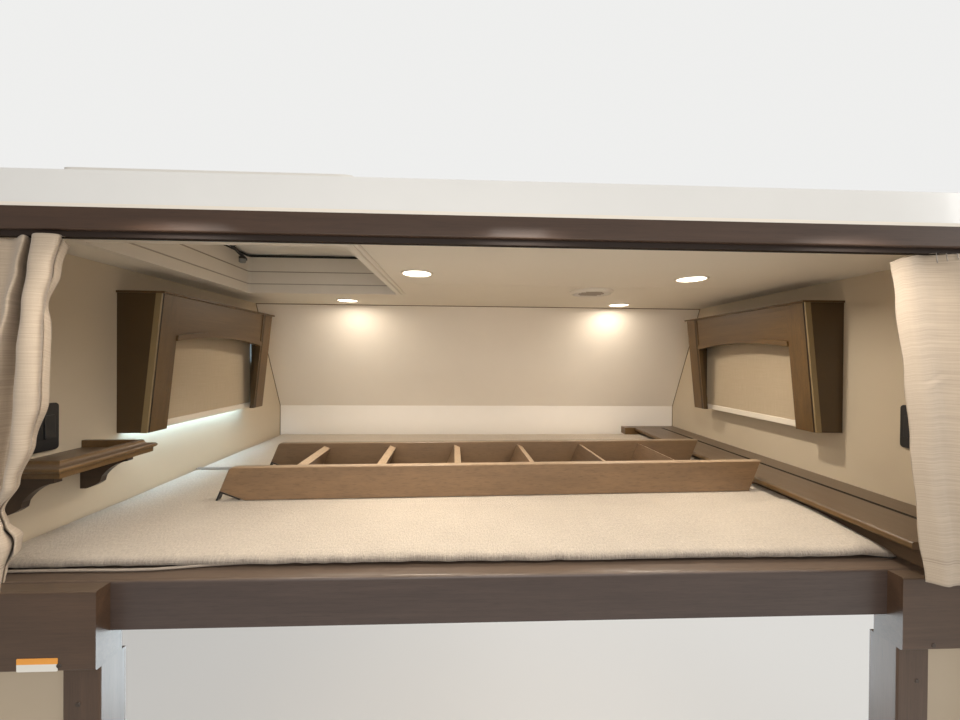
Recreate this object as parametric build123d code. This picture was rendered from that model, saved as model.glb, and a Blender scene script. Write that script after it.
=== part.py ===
from build123d import *
import math
import os

# Sleeping loft over a motorhome's cab, with the portal frame that carries it. Millimetres.
# +X is to the right, +Y forward into the loft, +Z up. The origin is on the underside of the
# deck, halfway along its clear length, where the loft sits on the cab.

os.makedirs("parts", exist_ok=True)

# Room inside the loft
inner_width = 2400
ceiling_z = 877
clear_length = 1420
belt_z = 306
slope_run = 266

# Shell
lining_thick = 7
wall_thick = 38
roof_thick = 63
nose_skin = 55
deck_thick = 38
cap_joint_back = 310
cap_side_radius = 34
cap_low_radius = 70
cap_brow_radius = 260
cap_roof_radius = 45
living_floor_z = -1253
leg_depth = 139
fit_gap = 0.3

# Portal timber
rail_height = 109
rail_board = 28
rail_cap_depth = 79
rail_cap_thick = 22
rail_nose_radius = 8
rail_back_round = 3
rail_foot_round = 4
header_depth = 38
header_height = 43
header_ahead = 101
header_round = 3
block_proud = 32
block_width_left = 341
block_width_right = 300
block_drop = 60
block_step = 3
block_round = 5
post_width = 76
post_depth = 60
post_setback = 9
post_round = 4
panel_thick = 12
panel_setback = 10
track_width = 16
track_height = 10
track_wall = 2
track_inset = 5

# Mattress
mattress_thick = 104
mattress_seam_y = 2
mattress_round = 24
mattress_side_round = 14
mattress_nose = 31
mattress_lip_round = 4

# Storage box along the right wall
box_top_z = 182
box_front_x = 989
board_thick = 18
lid_overhang = 56
lid_top_round = 7
lid_foot_round = 4
strip_width = 92
box_near_setback = 11
lid_far_gap = 6
far_rail_reach = 114
far_rail_depth = 60
hinge_radius = 5
hinge_pin_radius = 2
hinge_bore_gap = 0.06
hinge_leaf = 1.2
hinge_leaf_drop = 4
hinge_web = 3
hinge_side_gap = 7
knuckle_count = 9
knuckle_gap = 1.0

# Side windows and their cornices
window_mid_y = -6.5
window_length = 500
window_height = 330
window_z = 368
window_radius = 45
window_flange = 24
window_flange_thick = 4
window_lip = 10
glass_thick = 5
cornice_length = 681
cornice_z = 350
cornice_height = 446
cornice_low_depth = 77
cornice_high_depth = 123
cornice_board = 18
cornice_face = 19
cornice_end_set_in = 4
cornice_round = 2
groove_width = 2.5
groove_depth = 2
groove_from_edge = 7
groove_pitch = 7
stile_width = 80
valance_height = 149
valance_rise = 22
valance_set_in = 3
valance_bead = 5
lip_thick = 7
lip_overhang = 8
shade_drop_z = 348
shade_set_out = 50
shade_fabric_thick = 2
shade_side_gap = 6
shade_bar_height = 24
shade_bar_thick = 10
shade_bar_round = 3
shade_roller_radius = 17
shade_roller_z = 745

# Shelf and wall plates
shelf_top_z = 351
shelf_near_y = -690
shelf_length = 273
shelf_depth = 185
shelf_thick = 38
shelf_tray = 20
shelf_moulding = 35
# The moulding's section: how far each part is set in from its front, then drops and rounds
shelf_rim_set_in = 21
shelf_cove_set_in = 9
shelf_slab_set_in = 7
shelf_nose_set_in = 6
shelf_cove_drop = 14
shelf_nose_drop = 5
shelf_rim_round = 3
bracket_thick = 18
bracket_height = 100
bracket_reach = 132
bracket_inset_near = 40
bracket_inset_far = 21
plate_mid_y = -557
plate_z = 344
plate_width = 76
plate_height = 125
plate_thick = 7
plate_radius = 10

# Roof hatch
hatch_from_wall = 149
hatch_from_header = 127.5
hatch_size_x = 693
hatch_size_y = 761
hatch_flange = 35
hatch_flange_thick = 9
hatch_bead = 12
hatch_bead_gap = 3
hatch_corner = 12
hatch_liner = 6
hatch_well_height = 147
# Steps of the well's inner wall: height above the ceiling, how far it is set in from there up
well_steps = [(28, 3), (79, 6)]
curb_wall = 16
curb_foot = 45
curb_foot_thick = 5
lid_skirt_gap = 6
lid_wall = 4
lid_skirt = 26
lid_rise = 34
seal_width = 9
seal_height = 5
lug_thick = 8
lug_spread = 360
lug_ear_gap = 1
hatch_pin_radius = 4
hatch_pin_gap = 0.08
hatch_ear_radius = 9
hatch_axis_out = 32
# Latch on the lid: its base, then a slanted arm with a round knob hanging near the arm's end
latch_from_well = 22
latch_base_width = 24
latch_base_length = 60
latch_base_thick = 10
latch_base_back = 152.5
latch_arm_width = 10
latch_arm_thick = 9
latch_arm_reach = 125
latch_arm_drop = 43
latch_knob_radius = 13
latch_knob_height = 24
latch_knob_in = 25

# Lights and vent in the ceiling
light_radius = 55
light_rim = 9
light_drop = 5
light_lens_drop = 2
light_lens_gap = 0.1
light_beside_hatch = 101
# Centre of each light: side of the loft, distance from that side's lining, y
light_places = [
    (-1, hatch_from_wall + hatch_size_x + light_beside_hatch, -328),
    (1, 517, -312),
    (-1, 525, 292),
    (1, 508, 322),
]
vent_from_lining = 772
vent_y = -30
vent_radius = 88
vent_rim = 13
vent_drop = 12
vent_slat_thick = 4
vent_slat_count = 7
ceiling_seam_y = -140
ceiling_seam_width = 3
ceiling_seam_depth = 1.5

# Ladder, laid on the mattress
ladder_x = 3
ladder_y = -167
ladder_turn = 1.8
ladder_length = 1768
ladder_width = 360
ladder_rail_height = 105
ladder_rail_thick = 25
ladder_lean = 22
ladder_chamfer_length = 89
ladder_chamfer_height = 31
ladder_corner = 15
ladder_arris = 2.5
tread_thick = 25
tread_foot = 14
tread_top_gap = 12.6
tread_first = 185
tread_pitch = 263
tread_count = 6
hook_plate = 5
hook_width = 20
hook_end = 72
hook_tip = 1

# Marker lamps and the mouldings over the shell's joints
lamp_length = 84
lamp_height = 26
lamp_drop = 14
lamp_z = 880
lamp_places = [-1050, -170, 0, 170, 1050]
moulding_width = 30
moulding_reach = 50
moulding_thick = 3

# Curtains
curtain_thick = 9
curtain_fold = 17
curtain_fold_pitch = 57
curtain_top_gap = 0.3

# Places worked out from the sizes above
half = inner_width / 2
half_wall_in = half + lining_thick
half_out = half_wall_in + wall_thick
block_widths = {"left": block_width_left, "right": block_width_right}
deck_near_y = -clear_length / 2
ledge_y = clear_length / 2
cap_joint_y = ledge_y - cap_joint_back
ceiling_edge_y = ledge_y - slope_run
lean = slope_run / (ceiling_z - belt_z)
lining_run = lining_thick * math.hypot(1, lean)
skin_run = lining_run + nose_skin * math.hypot(1, lean)
ceiling_top = ceiling_z + lining_thick
roof_top = ceiling_top + roof_thick
rail_front_y = deck_near_y - rail_board
block_front_y = rail_front_y - block_proud
block_top = rail_height - block_step
rail_cap_low = rail_height - rail_cap_thick
post_front_y = block_front_y + post_setback
panel_front_y = post_front_y + panel_setback
header_front_y = rail_front_y - header_ahead
rear_y = header_front_y
mattress_top = deck_thick + fit_gap + mattress_thick
mattress_near_y = rail_front_y + rail_cap_depth + fit_gap
strip_x = half - strip_width
box_near_y = block_front_y + box_near_setback
lid_bottom = box_top_z - board_thick
lid_front_x = box_front_x - lid_overhang


def front_y(z, shift=0.0):
    """Y of the loft's front face at height z, moved forward by shift."""
    return ledge_y + shift - max(0.0, z - belt_z) * lean


def outline(points, radii=0):
    """A flat face from a closed outline, its corners rounded by one radius or a list."""
    if isinstance(radii, (int, float)) and radii == 0:
        return make_face(Polyline(*points, close=True))
    return make_face(FilletPolyline(*points, radius=radii, close=True))


def along_x(points, x0, x1, radii=0):
    """Outline of (y, z) points, run from x0 to x1."""
    face = outline([(0, y, z) for y, z in points], radii)
    return Pos(x0, 0, 0) * extrude(face, amount=x1 - x0, dir=(1, 0, 0))


def along_y(points, y0, y1, radii=0):
    """Outline of (x, z) points, run from y0 to y1."""
    face = outline([(x, 0, z) for x, z in points], radii)
    return Pos(0, y0, 0) * extrude(face, amount=y1 - y0, dir=(0, 1, 0))


def along_z(points, z0, z1, radii=0):
    """Outline of (x, y) points, run from z0 to z1."""
    face = outline([(x, y, 0) for x, y in points], radii)
    return Pos(0, 0, z0) * extrude(face, amount=z1 - z0, dir=(0, 0, 1))


def corners(a0, a1, b0, b1):
    """The four corners of a rectangle."""
    return [(a0, b0), (a1, b0), (a1, b1), (a0, b1)]


def board(x0, x1, y0, y1, z0, z1):
    """A square-edged board between six planes."""
    return along_z(corners(x0, x1, y0, y1), z0, z1)


def mirrored(shape):
    """The same piece for the other side of the loft."""
    return mirror(shape, about=Plane.YZ)


def save(shape, name):
    """Write one sub-part."""
    export_step(shape, f"parts/{name}.step")


def save_pair(right_shape, name):
    """Write a right-hand piece and its left-hand mirror image."""
    save(right_shape, f"{name}_right")
    save(mirrored(right_shape), f"{name}_left")


# Window opening, shared by wall, lining, frame and glass
window_y0 = window_mid_y - window_length / 2
window_y1 = window_mid_y + window_length / 2
window_top = window_z + window_height


def window_block(x0, x1, grow=0.0):
    """The rounded window outline as a block, larger all round by grow."""
    rim = corners(window_y0 - grow, window_y1 + grow, window_z - grow, window_top + grow)
    return along_x(rim, x0, x1, window_radius + grow)


# Deck, side walls and linings
deck = board(-half_wall_in, half_wall_in, deck_near_y, ledge_y + lining_run, 0, deck_thick)
save(deck, "deck_panel")

leg_y = rear_y + leg_depth
wall_outline = [
    (rear_y, living_floor_z),
    (leg_y, living_floor_z),
    (leg_y, 0),
    (cap_joint_y, 0),
    (cap_joint_y, roof_top),
    (rear_y, roof_top),
]
wall = along_x(wall_outline, half_wall_in, half_out)
wall -= window_block(half_wall_in - 1, half_out + 1)
save_pair(wall, "wall")

lining_outline = [
    (rear_y, living_floor_z),
    (panel_front_y, living_floor_z),
    (panel_front_y, deck_thick),
    (ledge_y, deck_thick),
    (ledge_y, belt_z),
    (ceiling_edge_y, ceiling_z),
    (rear_y, ceiling_z),
]
lining = along_x(lining_outline, half, half_wall_in)
lining -= window_block(half - 1, half_wall_in + 1)
save_pair(lining, "lining")

# Front lining: the sloped upper panel and the pale strip under it
front_panel = [
    (ceiling_edge_y, ceiling_z),
    (ledge_y, belt_z),
    (ledge_y + lining_run, belt_z),
    (ceiling_edge_y + lining_run, ceiling_z),
]
save(along_x(front_panel, -half_wall_in, half_wall_in), "front_lining")
strip_outline = corners(ledge_y, ledge_y + lining_run, deck_thick, belt_z)
save(along_x(strip_outline, -half_wall_in, half_wall_in), "front_ledge")

# Moulded front cap, one shell round the front of the loft
cap_outline = [
    (cap_joint_y, 0),
    (ledge_y + skin_run, 0),
    (front_y(belt_z, skin_run), belt_z),
    (front_y(roof_top, skin_run), roof_top),
    (cap_joint_y, roof_top),
]
cap_radii = [0, cap_low_radius, cap_brow_radius, cap_roof_radius, 0]
cap = along_x(cap_outline, -half_out, half_out, cap_radii)
cap_cavity = [
    (cap_joint_y - 1, -1),
    (ledge_y + lining_run, -1),
    (ledge_y + lining_run, belt_z),
    (front_y(ceiling_top, lining_run), ceiling_top),
    (cap_joint_y - 1, ceiling_top),
]
nose_edges = [
    edge
    for edge in cap.edges()
    if abs(abs(edge.center().X) - half_out) < 1 and edge.center().Y > cap_joint_y + 1
    and edge.center().Z > 1 and edge.center().Z < roof_top - 1
]
cap = fillet(nose_edges, cap_side_radius)
cap -= along_x(cap_cavity, -half_wall_in, half_wall_in)
save(cap, "front_cap")

# Roof hatch: trim, well, curb, lid and its hinge
hatch_x0 = -half + hatch_from_wall
hatch_x1 = hatch_x0 + hatch_size_x
hatch_x = (hatch_x0 + hatch_x1) / 2
hatch_y0 = header_front_y + header_depth + hatch_from_header
hatch_y1 = hatch_y0 + hatch_size_y
well_in = hatch_flange
roof_hole = well_in - hatch_liner
lid_out = curb_wall + lid_skirt_gap + lid_wall
curb_top = ceiling_z + hatch_well_height - 1


def hatch_block(inset, z0, z1, radius):
    """A rounded block on the hatch's centre, inside the trim's edge by inset."""
    rim = corners(hatch_x0 + inset, hatch_x1 - inset, hatch_y0 + inset, hatch_y1 - inset)
    return along_z(rim, z0, z1, radius)


ceiling = board(
    -half_wall_in,
    half_wall_in,
    rear_y,
    front_y(ceiling_top, lining_run),
    ceiling_z,
    ceiling_top,
)
ceiling -= hatch_block(roof_hole, ceiling_z - 1, ceiling_top + 1, hatch_corner)
ceiling -= board(
    -half_wall_in - 1,
    half_wall_in + 1,
    ceiling_seam_y - ceiling_seam_width / 2,
    ceiling_seam_y + ceiling_seam_width / 2,
    ceiling_z - 1,
    ceiling_z + ceiling_seam_depth,
)
save(ceiling, "ceiling_panel")
roof = board(-half_wall_in, half_wall_in, rear_y, cap_joint_y, ceiling_top, roof_top)
roof -= hatch_block(roof_hole, ceiling_top - 1, roof_top + 1, hatch_corner)
save(roof, "roof_panel")

# The trim's flange: an outer bead, a groove and a deeper inner bead
flange_low = ceiling_z - hatch_flange_thick
outer_bead = hatch_block(0, ceiling_z - hatch_flange_thick * 0.7, ceiling_z, hatch_corner)
trim = chamfer(outer_bead.faces().sort_by(Axis.Z)[0].edges(), hatch_flange_thick * 0.4)
trim -= hatch_block(hatch_bead, flange_low, ceiling_z - hatch_flange_thick / 3, hatch_corner)
inner_bead = hatch_block(hatch_bead + hatch_bead_gap, flange_low, ceiling_z, hatch_corner)
trim += chamfer(inner_bead.faces().sort_by(Axis.Z)[0].edges(), hatch_flange_thick / 3)
trim += hatch_block(roof_hole, ceiling_z - 1, curb_top, hatch_corner)
well_low = flange_low - 1
well_set_in = 0
for rise, set_in in well_steps:
    trim -= hatch_block(well_in + well_set_in, well_low, ceiling_z + rise, hatch_corner)
    well_low = ceiling_z + rise - 1
    well_set_in = set_in
trim -= hatch_block(well_in + well_set_in, well_low, curb_top + 1, hatch_corner)
save(trim, "hatch_trim")

curb = hatch_block(roof_hole - curb_wall, roof_top, curb_top, hatch_corner + curb_wall)
curb += hatch_block(roof_hole - curb_foot, roof_top, roof_top + curb_foot_thick, hatch_corner + curb_foot)
curb -= hatch_block(roof_hole, roof_top - 1, curb_top + 1, hatch_corner)

lid_inset = roof_hole - lid_out
lid_base = curb_top + seal_height + fit_gap
lid_low = lid_base + lid_wall - lid_skirt
lid_radius = hatch_corner + lid_out
lid = hatch_block(lid_inset, lid_low, lid_base + lid_wall, lid_radius)
dome_plan = [
    (hatch_x0 + lid_inset, lid_base + lid_wall),
    (hatch_x1 - lid_inset, lid_base + lid_wall),
    (hatch_x1 - lid_inset - lid_rise * 3, lid_base + lid_rise),
    (hatch_x0 + lid_inset + lid_rise * 3, lid_base + lid_rise),
]
dome = along_y(dome_plan, hatch_y0 + lid_inset, hatch_y1 - lid_inset)
dome_side = [
    (hatch_y0 + lid_inset, lid_base + lid_wall),
    (hatch_y1 - lid_inset, lid_base + lid_wall),
    (hatch_y1 - lid_inset - lid_rise * 3, lid_base + lid_rise),
    (hatch_y0 + lid_inset + lid_rise * 3, lid_base + lid_rise),
]
dome &= along_x(dome_side, hatch_x0 + lid_inset, hatch_x1 - lid_inset)
dome &= hatch_block(lid_inset, lid_base, lid_base + lid_rise, lid_radius)
lid += dome
lid -= hatch_block(lid_inset + lid_wall, lid_low - 1, lid_base, lid_radius - lid_wall)

axis_y = hatch_y1 - roof_hole + curb_wall + hatch_axis_out
axis_z = lid_low
ear_clear = lug_thick / 2 + lug_ear_gap
for side in (-1, 1):
    mid_x = hatch_x + side * lug_spread / 2
    lug_outline = [
        (hatch_y1 - lid_inset - lid_wall, lid_low),
        (axis_y, axis_z - hatch_ear_radius),
        (axis_y + hatch_ear_radius, axis_z),
        (axis_y, axis_z + hatch_ear_radius),
        (hatch_y1 - lid_inset - lid_wall, lid_low + lid_skirt - lid_wall),
    ]
    lug = along_x(lug_outline, mid_x - lug_thick / 2, mid_x + lug_thick / 2)
    bore = Cylinder(hatch_pin_radius + hatch_pin_gap, lug_thick + 2)
    lid += lug
    lid -= Pos(mid_x, axis_y, axis_z) * Rot(0, 90, 0) * bore
    for ear_side in (-1, 1):
        ear_x0 = mid_x + ear_side * ear_clear
        ear_x1 = ear_x0 + ear_side * lug_thick
        ear_outline = [
            (hatch_y1 - roof_hole + curb_foot - 2, roof_top),
            (axis_y + hatch_ear_radius, roof_top),
            (axis_y + hatch_ear_radius, axis_z + hatch_ear_radius),
            (axis_y - hatch_ear_radius, axis_z + hatch_ear_radius),
            (axis_y - hatch_ear_radius, roof_top + curb_foot_thick),
            (hatch_y1 - roof_hole + curb_foot - 2, roof_top + curb_foot_thick),
        ]
        curb += along_x(ear_outline, min(ear_x0, ear_x1), max(ear_x0, ear_x1))
    pin_length = 2 * (ear_clear + lug_thick)
    curb += Pos(mid_x, axis_y, axis_z) * Rot(0, 90, 0) * Cylinder(hatch_pin_radius, pin_length)
save(curb, "hatch_curb")
save(lid, "hatch_lid")

seal_inset = roof_hole - (curb_wall - seal_width) / 2 - seal_width
seal = hatch_block(seal_inset, curb_top + fit_gap, lid_base, hatch_corner + seal_width)
seal -= hatch_block(seal_inset + seal_width, curb_top - 1, lid_base + 1, hatch_corner)
save(seal, "hatch_seal")

latch_x = hatch_x0 + well_in + well_set_in + latch_from_well
latch_y0 = hatch_y1 - well_in - latch_base_back - latch_base_length
latch_y1 = latch_y0 + latch_base_length
latch_half = latch_base_width / 2
latch_base_z = lid_base - latch_base_thick
handle = board(latch_x - latch_half, latch_x + latch_half, latch_y0, latch_y1, latch_base_z, lid_base)
handle = chamfer(handle.faces().sort_by(Axis.Z)[0].edges(), latch_base_thick * 0.3)
arm_y0 = latch_y0 + latch_base_length / 3
arm_y1 = arm_y0 + latch_arm_reach
arm_outline = [
    (arm_y0, lid_base - 1),
    (arm_y1, lid_base - latch_arm_drop),
    (arm_y1, lid_base - latch_arm_drop + latch_arm_thick),
    (arm_y0 + latch_base_length / 3, lid_base - 1),
]
handle += along_x(arm_outline, latch_x - latch_arm_width / 2, latch_x + latch_arm_width / 2)
knob = Cylinder(latch_knob_radius, latch_knob_height, align=(Align.CENTER, Align.CENTER, Align.MAX))
knob = chamfer(knob.faces().sort_by(Axis.Z)[0].edges(), latch_knob_radius * 0.3)
handle += Pos(latch_x, arm_y1 - latch_knob_in, lid_base - latch_arm_drop + latch_arm_thick) * knob
save(handle, "hatch_handle")

# Header beam and curtain track
header_back_y = header_front_y + header_depth
header_outline = corners(header_front_y, header_back_y, ceiling_z - header_height, ceiling_z)
save(along_x(header_outline, -half, half, [header_round, header_round, 0, 0]), "header_beam")
track_y = header_front_y + header_depth / 2
track_top = ceiling_z - header_height
track_low = track_top - track_height
track_outline = [
    (track_y - track_width / 2, track_top),
    (track_y - track_width / 2, track_low),
    (track_y - track_wall, track_low),
    (track_y - track_wall, track_low + track_wall),
    (track_y - track_width / 2 + track_wall, track_low + track_wall),
    (track_y - track_width / 2 + track_wall, track_top - track_wall),
    (track_y + track_width / 2 - track_wall, track_top - track_wall),
    (track_y + track_width / 2 - track_wall, track_low + track_wall),
    (track_y + track_wall, track_low + track_wall),
    (track_y + track_wall, track_low),
    (track_y + track_width / 2, track_low),
    (track_y + track_width / 2, track_top),
]
save(along_x(track_outline, -half + track_inset, half - track_inset), "curtain_track")

# Bunk rail, corner blocks, posts and the panels beside them
cap_back_y = rail_front_y + rail_cap_depth
rail_cap_outline = corners(rail_front_y, cap_back_y, rail_cap_low, rail_height)
rail = along_x(rail_cap_outline, -half, half, [0, 0, rail_back_round, rail_nose_radius])
rail_board_outline = corners(rail_front_y, deck_near_y, 0, rail_cap_low)
rail_board_x0 = -half + block_width_left
rail_board_x1 = half - block_width_right
rail += along_x(rail_board_outline, rail_board_x0, rail_board_x1, [rail_foot_round, 0, 0, 0])
save(rail, "bunk_rail")
block_outline = [
    (block_front_y, -block_drop),
    (deck_near_y, -block_drop),
    (deck_near_y, rail_cap_low),
    (rail_front_y, rail_cap_low),
    (rail_front_y, block_top),
    (block_front_y, block_top),
]
post_back_y = post_front_y + post_depth
for name in ("left", "right"):
    inner_x = half - block_widths[name]
    block = along_x(block_outline, inner_x, half, [block_round, 0, 0, 0, 0, block_round])
    post_plan = corners(inner_x, inner_x + post_width, post_front_y, post_back_y)
    post = along_z(post_plan, living_floor_z, -block_drop, [post_round, post_round, 0, 0])
    panel = board(
        inner_x + post_width,
        half,
        panel_front_y,
        panel_front_y + panel_thick,
        living_floor_z,
        -block_drop,
    )
    for piece, title in ((block, "corner_block"), (post, "post"), (panel, "side_panel")):
        save(mirrored(piece) if name == "left" else piece, f"{title}_{name}")

# Windows: frame clamped in the wall, and glass
frame = window_block(half_out, half_out + window_flange_thick, window_flange)
frame += window_block(half, half_out + 1)
frame -= window_block(half - 1, half_out + window_flange_thick + 1, -window_lip)
glass_x = half_out - glass_thick
glass = window_block(glass_x, half_out, -window_lip / 2)
frame -= glass
save_pair(frame, "window_frame")
save_pair(glass, "window_glass")

# Cornices: end boards, face stiles, arched valance and top lip
cornice_y0 = window_mid_y - cornice_length / 2
cornice_y1 = window_mid_y + cornice_length / 2
cornice_top = cornice_z + cornice_height
cornice_lean = (cornice_high_depth - cornice_low_depth) / cornice_height
face_run = cornice_face * math.hypot(1, cornice_lean)


def cornice_x(z, shift=0.0):
    """X of the back of the right cornice's face boards at height z, moved out by shift."""
    return half - cornice_low_depth - (z - cornice_z) * cornice_lean - shift


end_outline = [
    (half, cornice_z),
    (cornice_x(cornice_z), cornice_z),
    (cornice_x(cornice_top), cornice_top),
    (half, cornice_top),
]
end_y0 = cornice_y0 + cornice_end_set_in
end_y1 = cornice_y1 - cornice_end_set_in
ends = along_y(end_outline, end_y0, end_y0 + cornice_board)
ends += along_y(end_outline, end_y1 - cornice_board, end_y1)
stile_outline = [
    (cornice_x(cornice_z), cornice_z),
    (cornice_x(cornice_z, face_run), cornice_z),
    (cornice_x(cornice_top, face_run), cornice_top),
    (cornice_x(cornice_top), cornice_top),
]
ends += along_y(stile_outline, cornice_y0, cornice_y0 + stile_width)
ends += along_y(stile_outline, cornice_y1 - stile_width, cornice_y1)
face_edges = [
    edge
    for edge in ends.edges()
    if min(abs(edge.center().Y - cornice_y0), abs(edge.center().Y - cornice_y1)) < 1
    and abs(edge.center().X - cornice_x(edge.center().Z, face_run)) < 1
    and abs(edge.center().Z - (cornice_z + cornice_top) / 2) < 1
]
ends = fillet(face_edges, cornice_round)
groove_outline = [
    (cornice_x(cornice_z, face_run - groove_depth), cornice_z - 1),
    (cornice_x(cornice_z, face_run + 1), cornice_z - 1),
    (cornice_x(cornice_top, face_run + 1), cornice_top + 1),
    (cornice_x(cornice_top, face_run - groove_depth), cornice_top + 1),
]
# One groove beside the near stile's outer edge, two beside the far stile's inner edge
groove_places = [
    cornice_y0 + groove_from_edge,
    cornice_y1 - stile_width + groove_from_edge,
    cornice_y1 - stile_width + groove_from_edge + groove_pitch,
]
for groove_y in groove_places:
    ends -= along_y(groove_outline, groove_y, groove_y + groove_width)
save_pair(ends, "cornice_stiles")

valance_y0 = cornice_y0 + stile_width
valance_y1 = cornice_y1 - stile_width
valance_z = cornice_top - valance_height
valance_outline = [
    (cornice_x(valance_z), valance_z),
    (cornice_x(valance_z, face_run - valance_set_in), valance_z),
    (cornice_x(cornice_top, face_run - valance_set_in), cornice_top),
    (cornice_x(cornice_top), cornice_top),
]
valance = along_y(valance_outline, valance_y0, valance_y1)
bead_outline = [
    (cornice_x(valance_z), valance_z),
    (cornice_x(valance_z, face_run + valance_bead), valance_z),
    (cornice_x(cornice_top, face_run + valance_bead), cornice_top),
    (cornice_x(cornice_top), cornice_top),
]
valance_half = (valance_y1 - valance_y0) / 2
arch_radius = (valance_half**2 + valance_rise**2) / (2 * valance_rise)
arch_z = valance_z + valance_rise - arch_radius
arch_x = half - cornice_high_depth / 2
arch_place = Pos(arch_x, window_mid_y, arch_z) * Rot(0, 90, 0)
arch_core = arch_place * Cylinder(arch_radius, cornice_high_depth * 2)
arch_band = arch_place * Cylinder(arch_radius + cornice_face, cornice_high_depth * 2)
bead = along_y(bead_outline, valance_y0, valance_y1) & arch_band
valance = (valance + bead) - arch_core
lip_front_x = cornice_x(cornice_top, face_run + lip_overhang)
lip = board(
    lip_front_x,
    half,
    cornice_y0,
    cornice_y1 + lip_overhang,
    cornice_top,
    cornice_top + lip_thick,
)
lip = fillet(lip.edges().filter_by(Axis.Y).sort_by(Axis.X)[:2], lip_thick * 0.4)
save_pair(valance + lip, "cornice_valance")

# Roller shades
shade_x = half - shade_set_out
shade_y0 = end_y0 + cornice_board + shade_side_gap
shade_y1 = end_y1 - cornice_board - shade_side_gap
bar_top = shade_drop_z + shade_bar_height
fabric = board(shade_x, shade_x + shade_fabric_thick, shade_y0, shade_y1, bar_top, shade_roller_z)
save_pair(fabric, "shade_fabric")
bar_mid = shade_x + shade_fabric_thick / 2
bar_outline = corners(bar_mid - shade_bar_thick / 2, bar_mid + shade_bar_thick / 2, shade_drop_z, bar_top)
save_pair(along_y(bar_outline, shade_y0, shade_y1, shade_bar_round), "shade_bar")
roller_x = shade_x + shade_fabric_thick + shade_roller_radius
roller_length = end_y1 - end_y0 - 2 * cornice_board
roller = Rot(90, 0, 0) * Cylinder(shade_roller_radius, roller_length)
roller = Pos(roller_x, window_mid_y, shade_roller_z) * roller
save_pair(roller, "shade_roller")

# Storage box with a hinged lid
box_far_y = ledge_y
box_side = [
    (box_near_y, block_top),
    (rail_front_y, block_top),
    (rail_front_y, rail_height),
    (cap_back_y, rail_height),
    (cap_back_y, deck_thick),
    (box_far_y, deck_thick),
    (box_far_y, lid_bottom),
    (box_near_y, lid_bottom),
]
box = along_x(box_side, box_front_x, box_front_x + board_thick)
box += board(box_front_x, half, box_near_y, box_near_y + board_thick, block_top, lid_bottom)
box += board(box_front_x, half, box_far_y - board_thick, box_far_y, deck_thick, lid_bottom)
save(box, "storage_box")
lid_far_y = box_far_y - far_rail_depth - lid_far_gap
strip_plan = [
    (strip_x, box_near_y),
    (half, box_near_y),
    (half, box_far_y),
    (box_front_x - far_rail_reach, box_far_y),
    (box_front_x - far_rail_reach, box_far_y - far_rail_depth),
    (strip_x, box_far_y - far_rail_depth),
]
strip = along_z(strip_plan, lid_bottom, box_top_z)
strip += board(
    box_front_x - far_rail_reach,
    box_front_x - fit_gap,
    box_far_y - far_rail_depth,
    box_far_y,
    mattress_top + fit_gap,
    box_top_z,
)
save(strip, "storage_strip")

hinge_x = strip_x - hinge_leaf - hinge_side_gap
hinge_z = box_top_z - hinge_radius
lid_back_x = hinge_x - hinge_side_gap - hinge_leaf
lid_outline = corners(lid_front_x, lid_back_x, lid_bottom + fit_gap, box_top_z)
lid_radii = [lid_foot_round, 0, 0, lid_top_round]
save(along_y(lid_outline, box_near_y, lid_far_y, lid_radii), "storage_lid")
hinge_low = hinge_z - hinge_radius - hinge_leaf_drop
fixed_hinge = board(strip_x - hinge_leaf, strip_x, box_near_y, lid_far_y, hinge_low, box_top_z)
moving_hinge = board(lid_back_x, lid_back_x + hinge_leaf, box_near_y, lid_far_y, hinge_low, box_top_z)
knuckle_pitch = (lid_far_y - box_near_y) / knuckle_count
for index in range(knuckle_count):
    y0 = box_near_y + index * knuckle_pitch + knuckle_gap / 2
    y1 = y0 + knuckle_pitch - knuckle_gap
    barrel = Pos(hinge_x, (y0 + y1) / 2, hinge_z) * Rot(90, 0, 0) * Cylinder(hinge_radius, y1 - y0)
    if index % 2 == 0:
        barrel += board(hinge_x, strip_x, y0, y1, hinge_z - hinge_web / 2, hinge_z + hinge_web / 2)
        fixed_hinge += barrel
    else:
        barrel += board(lid_back_x, hinge_x, y0, y1, hinge_z - hinge_web / 2, hinge_z + hinge_web / 2)
        bore = Cylinder(hinge_pin_radius + hinge_bore_gap, y1 - y0 + 2)
        moving_hinge += barrel - Pos(hinge_x, (y0 + y1) / 2, hinge_z) * Rot(90, 0, 0) * bore
pin_mid_y = (box_near_y + lid_far_y) / 2
pin = Pos(hinge_x, pin_mid_y, hinge_z) * Rot(90, 0, 0) * Cylinder(hinge_pin_radius, lid_far_y - box_near_y)
save(fixed_hinge + pin, "hinge_fixed_leaf")
save(moving_hinge, "hinge_lid_leaf")

# Shelf on the left wall: a tray whose three free sides are one mitred moulding, on two brackets
shelf_far_y = shelf_near_y + shelf_length
shelf_low = shelf_top_z - shelf_thick
tray_x = -half + shelf_depth - shelf_moulding
tray_y0 = shelf_near_y + shelf_moulding
tray_y1 = shelf_far_y - shelf_moulding
moulding_path = Polyline(
    (-half, tray_y0, shelf_top_z),
    (tray_x, tray_y0, shelf_top_z),
    (tray_x, tray_y1, shelf_top_z),
    (-half, tray_y1, shelf_top_z),
)
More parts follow.
